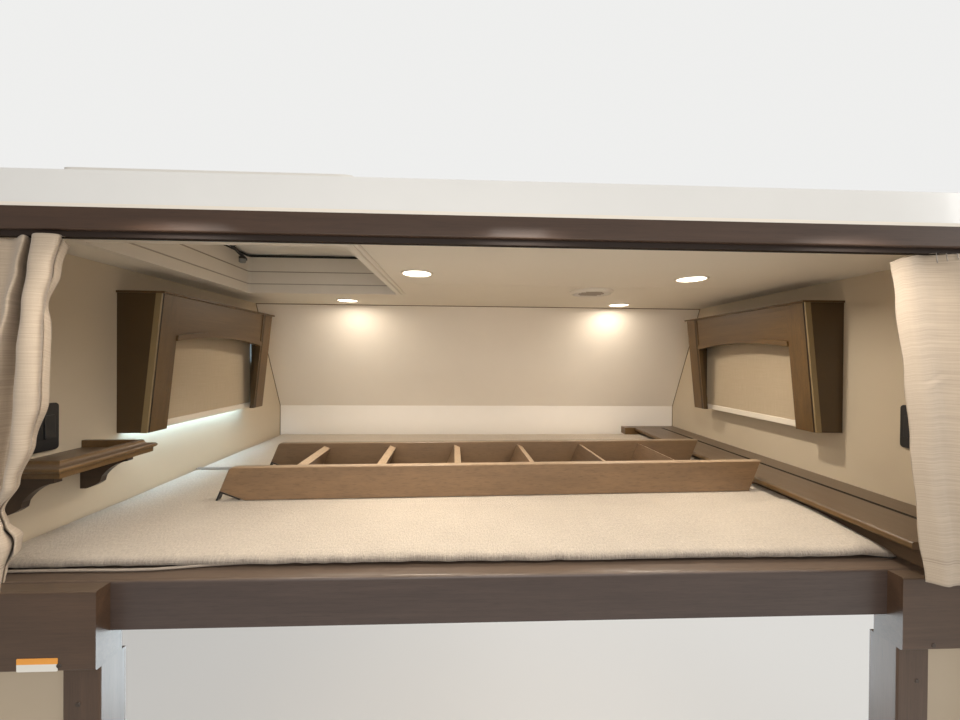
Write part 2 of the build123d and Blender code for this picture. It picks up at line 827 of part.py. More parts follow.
# Places in the section: outward from the tray's inner edge, and down from the rim's top
rim_face = shelf_moulding - shelf_rim_set_in
rim_flat = rim_face - shelf_rim_round
rim_bulge = 0.3 * shelf_rim_round
cove_foot = shelf_moulding - shelf_cove_set_in
cove_middle = (rim_face + 0.3 * (cove_foot - rim_face), 0.75 * shelf_cove_drop)
nose_low = shelf_tray + shelf_nose_drop
nose_foot = shelf_moulding - shelf_nose_set_in
nose_middle = (shelf_moulding, (shelf_cove_drop + nose_low) / 2)
slab_edge = shelf_moulding - shelf_slab_set_in
moulding_face = make_face(
    [
        Line((0, 0), (rim_flat, 0)),
        ThreePointArc((rim_flat, 0), (rim_face - rim_bulge, rim_bulge), (rim_face, shelf_rim_round)),
        ThreePointArc((rim_face, shelf_rim_round), cove_middle, (cove_foot, shelf_cove_drop)),
        ThreePointArc((cove_foot, shelf_cove_drop), nose_middle, (nose_foot, nose_low)),
        Line((nose_foot, nose_low), (slab_edge, nose_low)),
        Line((slab_edge, nose_low), (slab_edge, shelf_thick)),
        Line((slab_edge, shelf_thick), (0, shelf_thick)),
        Line((0, shelf_thick), (0, 0)),
    ]
)
moulding_start = Plane(origin=(-half, tray_y0, shelf_top_z), x_dir=(0, -1, 0), z_dir=(1, 0, 0))
shelf = sweep(moulding_start * moulding_face, path=moulding_path, transition=Transition.RIGHT)
shelf += board(-half, tray_x, tray_y0, tray_y1, shelf_low, shelf_top_z - shelf_tray)
save(shelf, "shelf_board")
# The brackets' side: an S-curve from the shelf's front down to the wall. Each place is a share of
# the reach from the wall and of the height below the shelf.
lip_end = (bracket_reach, -0.21 * bracket_height)
belly = (0.64 * bracket_reach, -0.40 * bracket_height)
belly_end = (0.45 * bracket_reach, -0.66 * bracket_height)
waist = (0.42 * bracket_reach, -0.81 * bracket_height)
heel = (0.27 * bracket_reach, -0.93 * bracket_height)
toe = (0.12 * bracket_reach, -bracket_height)
bracket_side = [
    Line((0, 0), (bracket_reach, 0)),
    Line((bracket_reach, 0), lip_end),
    ThreePointArc(lip_end, belly, belly_end),
    Line(belly_end, waist),
    ThreePointArc(waist, heel, toe),
    Line(toe, (0, -bracket_height)),
    Line((0, -bracket_height), (0, 0)),
]
bracket_plane = Plane(origin=(-half, 0, shelf_low), x_dir=(1, 0, 0), z_dir=(0, -1, 0))
bracket_face = bracket_plane * make_face(bracket_side)
brackets = Part()
for y in (shelf_near_y + bracket_inset_near, shelf_far_y - bracket_inset_far - bracket_thick):
    brackets += Pos(0, y, 0) * extrude(bracket_face, amount=bracket_thick, dir=(0, 1, 0))
save(brackets, "shelf_brackets")

plate_rim = corners(
    plate_mid_y - plate_width / 2,
    plate_mid_y + plate_width / 2,
    plate_z,
    plate_z + plate_height,
)
save_pair(along_x(plate_rim, half - plate_thick, half, plate_radius), "wall_plate")

# Mattress in two pieces
mattress_x1 = box_front_x - fit_gap
mattress_low = deck_thick + fit_gap
nose_y = mattress_near_y - mattress_nose
near_outline = [
    (mattress_near_y, mattress_low),
    (mattress_seam_y - fit_gap, mattress_low),
    (mattress_seam_y - fit_gap, mattress_top),
    (nose_y, mattress_top),
    (nose_y, rail_height + fit_gap),
    (mattress_near_y, rail_height + fit_gap),
]
near_radii = [0, 0, mattress_side_round, mattress_round, mattress_lip_round, 0]
mattress_x0 = -half + fit_gap
save(along_x(near_outline, mattress_x0, mattress_x1, near_radii), "mattress_near")
far_outline = corners(mattress_seam_y + fit_gap, ledge_y - fit_gap, mattress_low, mattress_top)
far_radii = [0, 0, mattress_side_round, mattress_side_round]
save(along_x(far_outline, mattress_x0, mattress_x1, far_radii), "mattress_far")

# Lights: a rounded ring turned about its centre, and a lens in its bore
bore = light_radius - light_rim
ring_section = [
    (bore, 0, 0),
    (light_radius, 0, 0),
    (light_radius - light_rim * 0.4, 0, -light_drop),
    (bore, 0, -light_drop * 0.7),
]
ring = revolve(outline(ring_section), axis=Axis.Z)
lens_align = (Align.CENTER, Align.CENTER, Align.MAX)
lens = Cylinder(bore - light_lens_gap, light_lens_drop, align=lens_align)
rims = Part()
lenses = Part()
for side, from_lining, y in light_places:
    place = Pos(side * (half - from_lining), y, ceiling_z)
    rims += place * ring
    lenses += place * lens
save(rims, "downlight_rims")
save(lenses, "downlight_lenses")

# Round vent: a rounded rim with slats across it
vent_bore = vent_radius - vent_rim
vent_section = [
    (vent_bore, 0, 0),
    (vent_radius, 0, 0),
    (vent_radius, 0, -vent_drop * 0.3),
    (vent_bore + vent_rim * 0.4, 0, -vent_drop),
    (vent_bore, 0, -vent_drop * 0.8),
]
vent = revolve(outline(vent_section), axis=Axis.Z)
slat_pitch = 2 * vent_bore / (vent_slat_count + 1)
slats = Part()
for index in range(vent_slat_count):
    slat_y = -vent_bore + (index + 1) * slat_pitch
    slats += board(
        -vent_radius,
        vent_radius,
        slat_y - vent_slat_thick / 2,
        slat_y + vent_slat_thick / 2,
        -vent_drop * 0.8,
        0,
    )
disc_align = (Align.CENTER, Align.CENTER, Align.MAX)
slats &= Cylinder(vent_bore + vent_rim / 3, vent_drop * 0.8, align=disc_align)
vent += slats
save(Pos(half - vent_from_lining, vent_y, ceiling_z) * vent, "ceiling_vent")

# Ladder: rails, treads and hooks, built square and then laid on the mattress
lean_tan = math.tan(math.radians(ladder_lean))
ladder_half = ladder_length / 2
half_width = ladder_width / 2
rail_left = -ladder_half
rail_outline_xz = [
    (ladder_half, 0),
    (ladder_half + ladder_rail_height * lean_tan, ladder_rail_height),
    (rail_left + ladder_rail_height * lean_tan, ladder_rail_height),
    (rail_left + ladder_chamfer_height * lean_tan, ladder_chamfer_height),
    (rail_left + ladder_chamfer_length, 0),
]
rail_corner_radii = [0, 0, ladder_corner, 0, 0]
ladder_place = Pos(ladder_x, ladder_y, mattress_top + fit_gap) * Rot(0, 0, ladder_turn)
ladder_rails = {}
for name, y0 in (("near", -half_width), ("far", half_width - ladder_rail_thick)):
    rail = along_y(rail_outline_xz, y0, y0 + ladder_rail_thick, rail_corner_radii)
    rail_sides = rail.faces().filter_by(Plane.XZ)
    ladder_rails[name] = chamfer(rail_sides.edges(), ladder_arris)
    save(ladder_place * ladder_rails[name], f"ladder_rail_{name}")
lean_angle = math.radians(ladder_lean)
tread_top = ladder_rail_height - tread_top_gap
tread_across = (tread_thick * math.cos(lean_angle), -tread_thick * math.sin(lean_angle))
treads = Part()
for index in range(tread_count):
    foot_x = rail_left + tread_first + index * tread_pitch
    low_x = foot_x + tread_foot * lean_tan
    top_x = foot_x + tread_top * lean_tan
    tread_outline = [
        (low_x, tread_foot),
        (low_x + tread_across[0], tread_foot + tread_across[1]),
        (top_x + tread_across[0], tread_top + tread_across[1]),
        (top_x, tread_top),
    ]
    treads += along_y(tread_outline, -half_width + ladder_rail_thick, half_width - ladder_rail_thick)
save(ladder_place * treads, "ladder_treads")

# Steel strap hooks: a plate under each rail's chamfer and a leg that goes on down past it
chamfer_x = rail_left + ladder_chamfer_height * lean_tan
chamfer_run = rail_left + ladder_chamfer_length - chamfer_x
chamfer_slope = ladder_chamfer_height / chamfer_run
plate_x = rail_left + hook_end
plate_z_end = ladder_chamfer_height - (plate_x - chamfer_x) * chamfer_slope
plate_drop = hook_plate * math.hypot(1, chamfer_slope)
leg_width = hook_plate / math.cos(lean_angle)
plate_outline = [
    (chamfer_x, ladder_chamfer_height),
    (chamfer_x, ladder_chamfer_height - plate_drop),
    (plate_x, plate_z_end - plate_drop),
    (plate_x, plate_z_end),
]
leg_outline = [
    (rail_left + hook_tip * lean_tan, hook_tip),
    (rail_left + hook_tip * lean_tan + leg_width, hook_tip),
    (chamfer_x + leg_width, ladder_chamfer_height),
    (chamfer_x, ladder_chamfer_height),
]
hooks = Part()
hook_set_in = (ladder_rail_thick - hook_width) / 2
for name, y0 in (("near", -half_width), ("far", half_width - ladder_rail_thick)):
    strap_y = y0 + hook_set_in
    strap = along_y(plate_outline, strap_y, strap_y + hook_width)
    strap += along_y(leg_outline, strap_y, strap_y + hook_width)
    hooks += strap - ladder_rails[name]
save(ladder_place * hooks, "ladder_hooks")

# Marker lamps seated on the cap's slanted front
lamp_y = front_y(lamp_z, skin_run)
lamp_plane = Plane(origin=(0, lamp_y, lamp_z), x_dir=(1, 0, 0), z_dir=(0, 1, lean))
lamp_side = corners(-lamp_length / 2, lamp_length / 2, -lamp_height / 2, lamp_height / 2)
lamp = along_z(lamp_side, 0, lamp_drop)
lamp = chamfer(lamp.edges().filter_by(Axis.Z), lamp_height * 0.3)
lamp = chamfer(lamp.faces().sort_by(Axis.Z)[-1].edges(), lamp_drop * 0.35)
lamps = Part()
for x in lamp_places:
    lamps += Pos(x, 0, 0) * lamp_plane * lamp
save(lamps, "marker_lamps")

# Mouldings: a band over the joint between cap, walls and roof, and an angle along each roof edge
joint_y0 = cap_joint_y - moulding_width / 2
joint_y1 = cap_joint_y + moulding_width / 2
moulding_out = half_out + moulding_thick
moulding_top = roof_top + moulding_thick
mouldings = board(-moulding_out, moulding_out, joint_y0, joint_y1, roof_top, moulding_top)
for side in (-1, 1):
    outer_x = sorted((side * half_out, side * moulding_out))
    edge_x = sorted((side * (half_out - moulding_reach), side * moulding_out))
    mouldings += board(*outer_x, joint_y0, joint_y1, 0, roof_top)
    mouldings += board(*outer_x, rear_y, joint_y0, roof_top - moulding_width, roof_top)
    mouldings += board(*edge_x, rear_y, joint_y0, roof_top, moulding_top)
save(mouldings, "shell_mouldings")

# Curtains, gathered to the sides: a wavy slab cut to the outline that hangs from the track
curtain_y = track_y
curtain_top = track_low - curtain_top_gap


def gathered(x0, x1, z0, z1):
    """A slab with round folds along X, between two heights."""
    count = int(round((x1 - x0) / curtain_fold_pitch))
    pitch = (x1 - x0) / count
    edges = []
    for index in range(count):
        xa = x0 + index * pitch
        bulge = curtain_fold if index % 2 == 0 else -curtain_fold
        for shift in (-curtain_thick / 2, curtain_thick / 2):
            y = curtain_y + shift
            middle = (xa + pitch / 2, y + bulge, 0)
            edges.append(ThreePointArc((xa, y, 0), middle, (xa + pitch, y, 0)))
    for x in (x0, x0 + count * pitch):
        edges.append(Line((x, curtain_y - curtain_thick / 2, 0), (x, curtain_y + curtain_thick / 2, 0)))
    return Pos(0, 0, z0) * extrude(make_face(edges), amount=z1 - z0, dir=(0, 0, 1))


# Inner edge of each curtain: distance from the centre line, and height
left_hang = [
    (858, curtain_top),
    (876, 795),
    (896, 700),
    (898, 508),
    (921, 439),
    (950, 350),
    (980, 297),
    (946, 233),
    (985, 157),
]
right_hang = [(802, curtain_top), (817, 765), (840, 515), (862, 302), (884, 129), (965, 115)]
for name, side, hang in (("left", -1, left_hang), ("right", 1, right_hang)):
    reach = min(x for x, z in hang)
    low = min(z for x, z in hang)
    slab = gathered(reach, half - fit_gap * 4, low, curtain_top)
    points = hang + [(half, low), (half, curtain_top)]
    slab &= along_y(points, curtain_y - 100, curtain_y + 100)
    if side < 0:
        slab = mirrored(slab)
    save(slab, f"curtain_{name}")
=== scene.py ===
import bmesh
import bpy
import math
from mathutils import Matrix, Vector, noise


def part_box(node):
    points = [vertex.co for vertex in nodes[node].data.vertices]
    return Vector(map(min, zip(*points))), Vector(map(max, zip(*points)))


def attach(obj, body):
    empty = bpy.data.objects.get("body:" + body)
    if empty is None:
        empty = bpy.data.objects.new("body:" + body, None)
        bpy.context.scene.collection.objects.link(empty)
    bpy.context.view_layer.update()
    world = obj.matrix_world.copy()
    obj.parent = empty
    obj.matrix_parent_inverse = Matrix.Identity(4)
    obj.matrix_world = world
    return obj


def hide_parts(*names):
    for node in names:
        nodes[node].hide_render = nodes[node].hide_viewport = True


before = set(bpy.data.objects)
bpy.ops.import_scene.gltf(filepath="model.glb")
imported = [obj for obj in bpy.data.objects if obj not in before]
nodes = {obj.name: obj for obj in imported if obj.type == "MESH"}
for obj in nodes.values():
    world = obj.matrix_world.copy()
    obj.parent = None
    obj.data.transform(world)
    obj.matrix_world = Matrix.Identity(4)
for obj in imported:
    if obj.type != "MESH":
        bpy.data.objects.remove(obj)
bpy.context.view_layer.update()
scene = bpy.context.scene
scene.view_settings.view_transform = "Standard"

# Viewpoint: standing in the living area, a little left of the middle, looking forward into the
# loft with a wide lens. The turn, tilt and roll are those of the photograph.
camera_place = (-0.096, -1.578, 0.597)
camera_lens = 14.064
yaw, pitch, roll = math.radians(2.289), math.radians(-0.294), -0.0076
forward = Vector((math.sin(yaw) * math.cos(pitch), math.cos(yaw) * math.cos(pitch), math.sin(pitch)))
level_right = Vector((math.cos(yaw), -math.sin(yaw), 0))
level_up = level_right.cross(forward)
camera_right = math.cos(roll) * level_right - math.sin(roll) * level_up
camera_up = math.sin(roll) * level_right + math.cos(roll) * level_up
camera_data = bpy.data.cameras.new("camera")
camera_data.lens = camera_lens
camera_data.sensor_width = 36
camera_data.clip_start = 0.01
camera = bpy.data.objects.new("camera", camera_data)
camera_turn = Matrix((camera_right, camera_up, -forward)).transposed()
camera.matrix_world = Matrix.Translation(camera_place) @ camera_turn.to_4x4()
scene.collection.objects.link(camera)
scene.camera = camera


# Studio floor: a plain pale sheet under the foot of the posts, wide enough for every view. It
# takes the object's shadow, and to the camera and in reflections it is nearly white.
def socket_of(value):
    """A node's first output, or the value as it is."""
    return value.outputs[0] if isinstance(value, bpy.types.Node) else value


def add(tree, kind, inputs=(), **options):
    """One shader node: its options are set, then its inputs are given values or linked."""
    node = tree.nodes.new(kind)
    for key, value in options.items():
        setattr(node, key, value)
    for key, value in dict(inputs).items():
        value = socket_of(value)
        if isinstance(value, bpy.types.NodeSocket):
            tree.links.new(value, node.inputs[key])
        else:
            node.inputs[key].default_value = value
    return node


def maths(tree, operation, *values):
    """A math node on one to three values or sockets."""
    return add(tree, "ShaderNodeMath", dict(enumerate(values)), operation=operation)


def new_piece(name, bm, material, body=None):
    """A finished bmesh as a mesh object at the origin, riding on its body."""
    mesh = bpy.data.meshes.new(name)
    bm.to_mesh(mesh)
    bm.free()
    piece = bpy.data.objects.new(name, mesh)
    mesh.materials.append(material)
    scene.collection.objects.link(piece)
    if body:
        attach(piece, body)
    return piece


floor_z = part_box("post_left")[0][2]
floor_half = 14.0
floor_grey = (0.70, 0.70, 0.69, 1)
floor_paint = bpy.data.materials.new("studio floor")
floor_paint.use_nodes = True
tree = floor_paint.node_tree
path = add(tree, "ShaderNodeLightPath")
seen = maths(tree, "MAXIMUM", path.outputs["Is Camera Ray"], path.outputs["Is Glossy Ray"])
glow = add(tree, "ShaderNodeEmission", {"Color": floor_grey, "Strength": 0.15})
matt = add(tree, "ShaderNodeBsdfDiffuse", {"Color": floor_grey})
both = add(tree, "ShaderNodeAddShader", {0: glow, 1: matt})
floor_mix = add(tree, "ShaderNodeMixShader", {0: seen, 1: matt, 2: both})
tree.links.new(floor_mix.outputs[0], tree.nodes["Material Output"].inputs["Surface"])
bm = bmesh.new()
bmesh.ops.create_grid(bm, x_segments=2, y_segments=2, size=floor_half)
bmesh.ops.translate(bm, vec=(0, 0, floor_z), verts=bm.verts)
floor = new_piece("studio_floor", bm, floor_paint)

# Light: three small lamps in the living area's ceiling, a soft fill behind the camera, cool
# daylight from the cab and at the left window, and two large soft lamps for the outside.
world = bpy.data.worlds.new("studio")
scene.world = world
world.use_nodes = True
tree = world.node_tree
path = add(tree, "ShaderNodeLightPath")
seen = maths(tree, "MAXIMUM", path.outputs["Is Camera Ray"], path.outputs["Is Transmission Ray"])
shown = add(tree, "ShaderNodeBackground", {"Color": (0.86, 0.86, 0.85, 1), "Strength": 1.0})
lighting = tree.nodes["Background"]
lighting.inputs["Color"].default_value = (1.0, 0.975, 0.94, 1)
lighting.inputs["Strength"].default_value = 0.36
world_mix = add(tree, "ShaderNodeMixShader", {0: seen, 1: lighting, 2: shown})
tree.links.new(world_mix.outputs[0], tree.nodes["World Output"].inputs["Surface"])


def area_lamp(name, place, target, size, watts, colour, spread=math.pi, shape="RECTANGLE"):
    """A soft lamp that points at a target, with the angle that its light fills."""
    data = bpy.data.lights.new(name, "AREA")
    data.shape = shape
    data.size, data.size_y = size
    data.spread = spread
    data.energy = watts
    data.color = colour
    lamp = bpy.data.objects.new(name, data)
    aim = (Vector(target) - Vector(place)).to_track_quat("-Z", "Y")
    lamp.matrix_world = Matrix.Translation(place) @ aim.to_matrix().to_4x4()
    lamp.visible_camera = False
    scene.collection.objects.link(lamp)


warm = (1.0, 0.94, 0.87)
cool = (0.80, 0.93, 1.0)
window_blue = (0.49, 0.76, 1.0)
ceiling_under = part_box("ceiling_panel")[0][2]
header_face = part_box("header_beam")[0][1]
for index, x in enumerate((-0.66, 0.02, 0.70)):
    place = Vector((x, header_face - 0.13, ceiling_under - 0.006))
    area_lamp(f"living_light_{index + 1}", place, place + Vector((0, 0.10, -1)), (0.12, 0.12), 1.75,
              warm, 2.5)
area_lamp("living_room_fill", (0.0, -2.6, 0.75), (0.0, -0.4, 0.3), (2.4, 0.8), 26, (1.0, 0.95, 0.90))
area_lamp("cab_daylight", (0.0, 0.35, -0.75), (0.0, -0.9, -0.25), (1.5, 0.7), 20, cool, 1.7)
window_low, window_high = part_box("window_glass_left")
window_mid_y = (window_low[1] + window_high[1]) / 2
sill_x = (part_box("shade_fabric_left")[0][0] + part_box("lining_left")[1][0]) / 2
sill = Vector((sill_x, window_mid_y, window_low[2] + 0.01))
area_lamp("daylight_left", sill, sill + Vector((0.004, 0, -1)), (0.62, 0.03), 1.4, window_blue)
slit = Vector((sill_x, window_high[1] + 0.035, window_high[2] - 0.07))
area_lamp("daylight_slit", slit, slit + Vector((1, 0.3, 0)), (0.02, 0.10), 0.07, window_blue)
area_lamp("over_front", (1.5, 4.5, 4.2), (0.0, 0.3, 0.2), (3.5, 3.5), 200, (1.0, 0.98, 0.95))
area_lamp("over_right", (5.5, -2.5, 3.0), (0.8, -0.2, 0.0), (3.0, 3.0), 110, (1.0, 0.98, 0.95))

# Shell: sandwich walls, roof and moulded front cap with a polished white gelcoat skin, and the
# floor-side of the deck left as sealed plywood. The skin is faintly wavy and a little dusty.


def ranged(tree, value, source=(0.0, 1.0), target=(0.0, 1.0)):
    """A value moved from one range to another, and held inside it."""
    return add(tree, "ShaderNodeMapRange", {"Value": value, "From Min": source[0], "From Max": source[1],
                                            "To Min": target[0], "To Max": target[1]})


def clouds(tree, vector, scale, **more):
    """Noise of a scale at a place."""
    return add(tree, "ShaderNodeTexNoise", {"Vector": vector, "Scale": scale, **more})


def tones(tree, mask, first, second):
    """The first tone, and the second where the mask is one."""
    return add(tree, "ShaderNodeMix", {0: mask, 6: first, 7: second}, data_type="RGBA")


def feed(material, **sockets):
    """Links nodes or sockets to a material's shader."""
    tree = material.node_tree
    for key, value in sockets.items():
        goal = tree.nodes["Principled BSDF"].inputs[key.replace("_", " ")]
        tree.links.new(socket_of(value), goal)


def surface(name, colour, roughness, **sockets):
    """A new material with its plain numbers set on the shader's own sockets."""
    material = bpy.data.materials.new(name)
    material.use_nodes = True
    shader = material.node_tree.nodes["Principled BSDF"]
    shader.inputs["Base Color"].default_value = (*colour, 1)
    shader.inputs["Roughness"].default_value = roughness
    for key, value in sockets.items():
        shader.inputs[key.replace("_", " ")].default_value = value
    return material


def shader_group(name, inputs, outputs):
    """An empty node group with its sockets, given as name and kind, and its two end nodes."""
    group = bpy.data.node_groups.new(name, "ShaderNodeTree")
    for label, kind in inputs:
        group.interface.new_socket(label, in_out="INPUT", socket_type=f"NodeSocket{kind}")
    for label, kind in outputs:
        group.interface.new_socket(label, in_out="OUTPUT", socket_type=f"NodeSocket{kind}")
    return group, group.nodes.new("NodeGroupInput"), group.nodes.new("NodeGroupOutput")


mottle, ins, outs = shader_group(
    "mottle",
    [("Vector", "Vector"), ("Colour", "Color"), ("Shade", "Color"), ("Patch", "Float"), ("Grit", "Float")],
    [("Colour", "Color"), ("Height", "Float"), ("Roughness", "Float")],
)
broad = clouds(mottle, ins.outputs["Vector"], ins.outputs["Patch"], Detail=4.0, Roughness=0.6)
fine = clouds(mottle, ins.outputs["Vector"], ins.outputs["Grit"], Detail=3.0)
spread = ranged(mottle, broad, (0.35, 0.7))
tint = tones(mottle, spread, ins.outputs["Colour"], ins.outputs["Shade"])
rough = ranged(mottle, fine, (0.3, 0.7), (-0.06, 0.06))
mottle.links.new(tint.outputs[2], outs.inputs["Colour"])
mottle.links.new(fine.outputs[0], outs.inputs["Height"])
mottle.links.new(rough.outputs[0], outs.inputs["Roughness"])


def mottled(name, colour, shade, roughness, patch=3.0, grit=260.0, bump=0.05, depth=0.0004, **sockets):
    """A moulded, painted or lined surface: two close tones in patches, with a fine tooth."""
    material = surface(name, colour, roughness, **sockets)
    tree = material.node_tree
    place = add(tree, "ShaderNodeTexCoord")
    values = {"Vector": place.outputs["Object"], "Colour": (*colour, 1), "Shade": (*shade, 1),
              "Patch": patch, "Grit": grit}
    look = add(tree, "ShaderNodeGroup", values, node_tree=mottle)
    total = maths(tree, "ADD", look.outputs["Roughness"], roughness)
    relief = add(tree, "ShaderNodeBump", {"Height": look.outputs["Height"], "Strength": bump,
                                          "Distance": depth})
    feed(material, Base_Color=look.outputs["Colour"], Roughness=total, Normal=relief)
    return material


def dress(material, *names):
    """Gives CAD nodes their finish through their own material slots."""
    for name in names:
        slots = nodes[name].data.materials
        slots.clear()
        slots.append(material)


gelcoat = mottled("gelcoat", (0.80, 0.80, 0.78), (0.74, 0.74, 0.72), 0.22, patch=1.4, grit=9.0, bump=0.04,
                  depth=0.004, Coat_Weight=0.5, Coat_Roughness=0.06)
dress(gelcoat, "wall_left", "wall_right", "front_cap", "roof_panel", "hatch_curb")
plywood = mottled("sealed plywood", (0.46, 0.32, 0.19), (0.37, 0.25, 0.14), 0.62, patch=7.0, grit=420.0,
                  bump=0.2)
dress(plywood, "deck_panel")

# Joint mouldings: extruded aluminium over the joints between walls, roof and cap, bedded in
# sealant and held by small round-headed screws at an even pitch.
brushed = mottled("mill aluminium", (0.60, 0.60, 0.59), (0.52, 0.52, 0.51), 0.36, patch=20.0, grit=900.0,
                  bump=0.1, Metallic=0.9)
dress(brushed, "shell_mouldings")
screw_pitch = 0.15
screw_radius = 0.0045
screw_inset = 0.03
screw_lift = 0.0008
moulding_low, moulding_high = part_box("shell_mouldings")
joint_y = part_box("roof_panel")[1][1]
bm = bmesh.new()


def screw_head(bm, place, out):
    """A round screw head with its flat side on the surface."""
    turn = Vector((0, 0, 1)).rotation_difference(Vector(out)).to_matrix().to_4x4()
    where = Matrix.Translation(place) @ turn
    bmesh.ops.create_cone(bm, cap_ends=True, segments=12, radius1=screw_radius,
                          radius2=screw_radius * 0.55, depth=0.0022, matrix=where)


moulding_width = moulding_high[0] - moulding_low[0]
count = int(moulding_width / screw_pitch)
for index in range(count + 1):
    x = moulding_low[0] + screw_inset + index * (moulding_width - 2 * screw_inset) / count
    screw_head(bm, (x, joint_y, moulding_high[2] + screw_lift), (0, 0, 1))
for side in (-1, 1):
    out_x = side * (moulding_high[0] + screw_lift)
    rows = int(moulding_high[2] / screw_pitch)
    for index in range(rows):
        screw_head(bm, (out_x, joint_y, 0.04 + index * screw_pitch), (side, 0, 0))
    rows = int((joint_y - moulding_low[1]) / screw_pitch)
    for index in range(rows):
        screw_head(bm, (out_x, moulding_low[1] + 0.05 + index * screw_pitch, moulding_high[2] - 0.02),
                   (side, 0, 0))
new_piece("moulding_screws", bm, brushed, "loft")

# Side windows: acrylic panes in black powder-coated frames, clamped in the wall. The panes are
# tinted dark and a little hazy.
window_black = mottled("black powder coat", (0.018, 0.018, 0.019), (0.03, 0.03, 0.03), 0.42, grit=1200.0,
                       bump=0.12)
dress(window_black, "window_frame_left", "window_frame_right")
tinted = surface("tinted pane", (0.30, 0.34, 0.35), 0.04, Transmission_Weight=1.0, IOR=1.46)
tree = tinted.node_tree
place = add(tree, "ShaderNodeTexCoord")
haze = clouds(tree, place.outputs["Object"], 5.0, Detail=3.0)
film = ranged(tree, haze, target=(0.02, 0.09))
feed(tinted, Roughness=film)
dress(tinted, "window_glass_left", "window_glass_right")

# Marker lamps: amber lenses on the cap, under a clear coat. Fine ribs inside them make them
# glitter.
amber = surface("amber lens", (0.85, 0.25, 0.02), 0.12, Coat_Weight=0.6, Coat_Roughness=0.05)
tree = amber.node_tree
place = add(tree, "ShaderNodeTexCoord")
ribs = add(tree, "ShaderNodeTexWave", {"Vector": place.outputs["Object"], "Scale": 42.0}, bands_direction="X")
deep = ranged(tree, ribs.outputs[1])
shine = tones(tree, deep, (0.62, 0.13, 0.01, 1), (0.95, 0.36, 0.03, 1))
relief = add(tree, "ShaderNodeBump", {"Height": ribs.outputs[1], "Strength": 0.5, "Distance": 0.002})
feed(amber, Base_Color=shine.outputs[2], Normal=relief)
dress(amber, "marker_lamps")

# Linings: vinyl-faced boards, warm beige on the walls and duller on the side panels, lighter on
# the sloped front and the ceiling, with a pale smooth strip at the foot end.
wall_vinyl = mottled("beige vinyl", (0.61, 0.52, 0.39), (0.58, 0.49, 0.36), 0.62, patch=2.2, grit=760.0,
                     bump=0.16, depth=0.0006)
dress(wall_vinyl, "lining_left", "lining_right")
panel_vinyl = mottled("panel vinyl", (0.48, 0.40, 0.30), (0.45, 0.37, 0.27), 0.62, patch=2.2, grit=760.0,
                      bump=0.16, depth=0.0006)
dress(panel_vinyl, "side_panel_left", "side_panel_right")
front_vinyl = mottled("front vinyl", (0.86, 0.79, 0.69), (0.83, 0.76, 0.66), 0.62, patch=2.2, grit=760.0,
                      bump=0.16, depth=0.0006)
dress(front_vinyl, "front_lining")
pale_vinyl = mottled("pale vinyl", (0.92, 0.87, 0.80), (0.89, 0.84, 0.77), 0.5, patch=2.0, grit=500.0,
                     bump=0.08)
dress(pale_vinyl, "front_ledge")


def own_axes(tree):
    """A point's place on the object, as X, Y and Z."""
    place = add(tree, "ShaderNodeTexCoord")
    return add(tree, "ShaderNodeSeparateXYZ", {0: place.outputs["Object"]})


def paint_over(material, mask, tone):
    """Lays a tone over a material's own colour where the mask node gives one."""
    tree = material.node_tree
    base = tree.nodes["Principled BSDF"].inputs["Base Color"]
    painted = tones(tree, mask, base.links[0].from_socket, tone)
    tree.links.new(painted.outputs[2], base)


# A thin brown bead of sealant shows where they meet the side linings, and a painted shadow line where they
# meet the ceiling
bead_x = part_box("lining_right")[0][0] - 0.004
shadow_line_z = ceiling_under - 0.004
bead_and_shadow_brown = (0.20, 0.14, 0.08, 1)
for vinyl in (front_vinyl, pale_vinyl):
    tree = vinyl.node_tree
    parts = own_axes(tree)
    far_out = maths(tree, "ABSOLUTE", parts.outputs["X"])
    at_side = maths(tree, "GREATER_THAN", far_out, bead_x)
    ceiling_shadow_line = maths(tree, "GREATER_THAN", parts.outputs["Z"], shadow_line_z)
    bead_and_shadow_line = maths(tree, "MAXIMUM", at_side, ceiling_shadow_line)
    paint_over(vinyl, bead_and_shadow_line, bead_and_shadow_brown)
ceiling_vinyl = mottled("ceiling lining", (0.80, 0.75, 0.66), (0.77, 0.72, 0.63), 0.7, patch=1.8, grit=640.0,
                        bump=0.18, depth=0.0006)
dress(ceiling_vinyl, "ceiling_panel")

# Roof hatch: moulded cream trim and well, a white lid on a black rubber seal, and a black latch
# whose round knob is grey.
cream = mottled("cream moulding", (0.75, 0.70, 0.62), (0.71, 0.66, 0.58), 0.45, patch=6.0, grit=340.0,
                bump=0.08)
tree = cream.node_tree
parts = own_axes(tree)
trim_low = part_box("hatch_trim")[0][2]
# rise above the trim's foot, half width and tone: painted shade lines at two faint steps, and the black
# gasket
step_shade_and_gasket_lines = ((0.037, 0.0018, (0.40, 0.35, 0.29, 1)), (0.088, 0.0018, (0.36, 0.31, 0.25, 1)),
              (0.1525, 0.0045, (0.012, 0.012, 0.012, 1)))
for rise, half_line, tone in step_shade_and_gasket_lines:
    line = maths(tree, "COMPARE", parts.outputs["Z"], trim_low + rise, half_line)
    paint_over(cream, line, tone)
dress(cream, "hatch_trim")
lid_white = mottled("lid moulding", (0.78, 0.76, 0.71), (0.76, 0.74, 0.69), 0.55, patch=4.0, grit=300.0,
                    bump=0.02)
dress(lid_white, "hatch_lid")
rubber = mottled("black rubber", (0.012, 0.012, 0.012), (0.02, 0.02, 0.02), 0.7, grit=700.0, bump=0.2)
dress(rubber, "hatch_seal")
satin_black = mottled("satin black", (0.016, 0.016, 0.017), (0.024, 0.024, 0.025), 0.38, grit=900.0,
                      bump=0.08)
handle_low, handle_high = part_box("hatch_handle")
knob_y = handle_high[1] - 0.025
latch_finish = surface("latch", (0.016, 0.016, 0.017), 0.3, Coat_Weight=0.3)
tree = latch_finish.node_tree
parts = own_axes(tree)
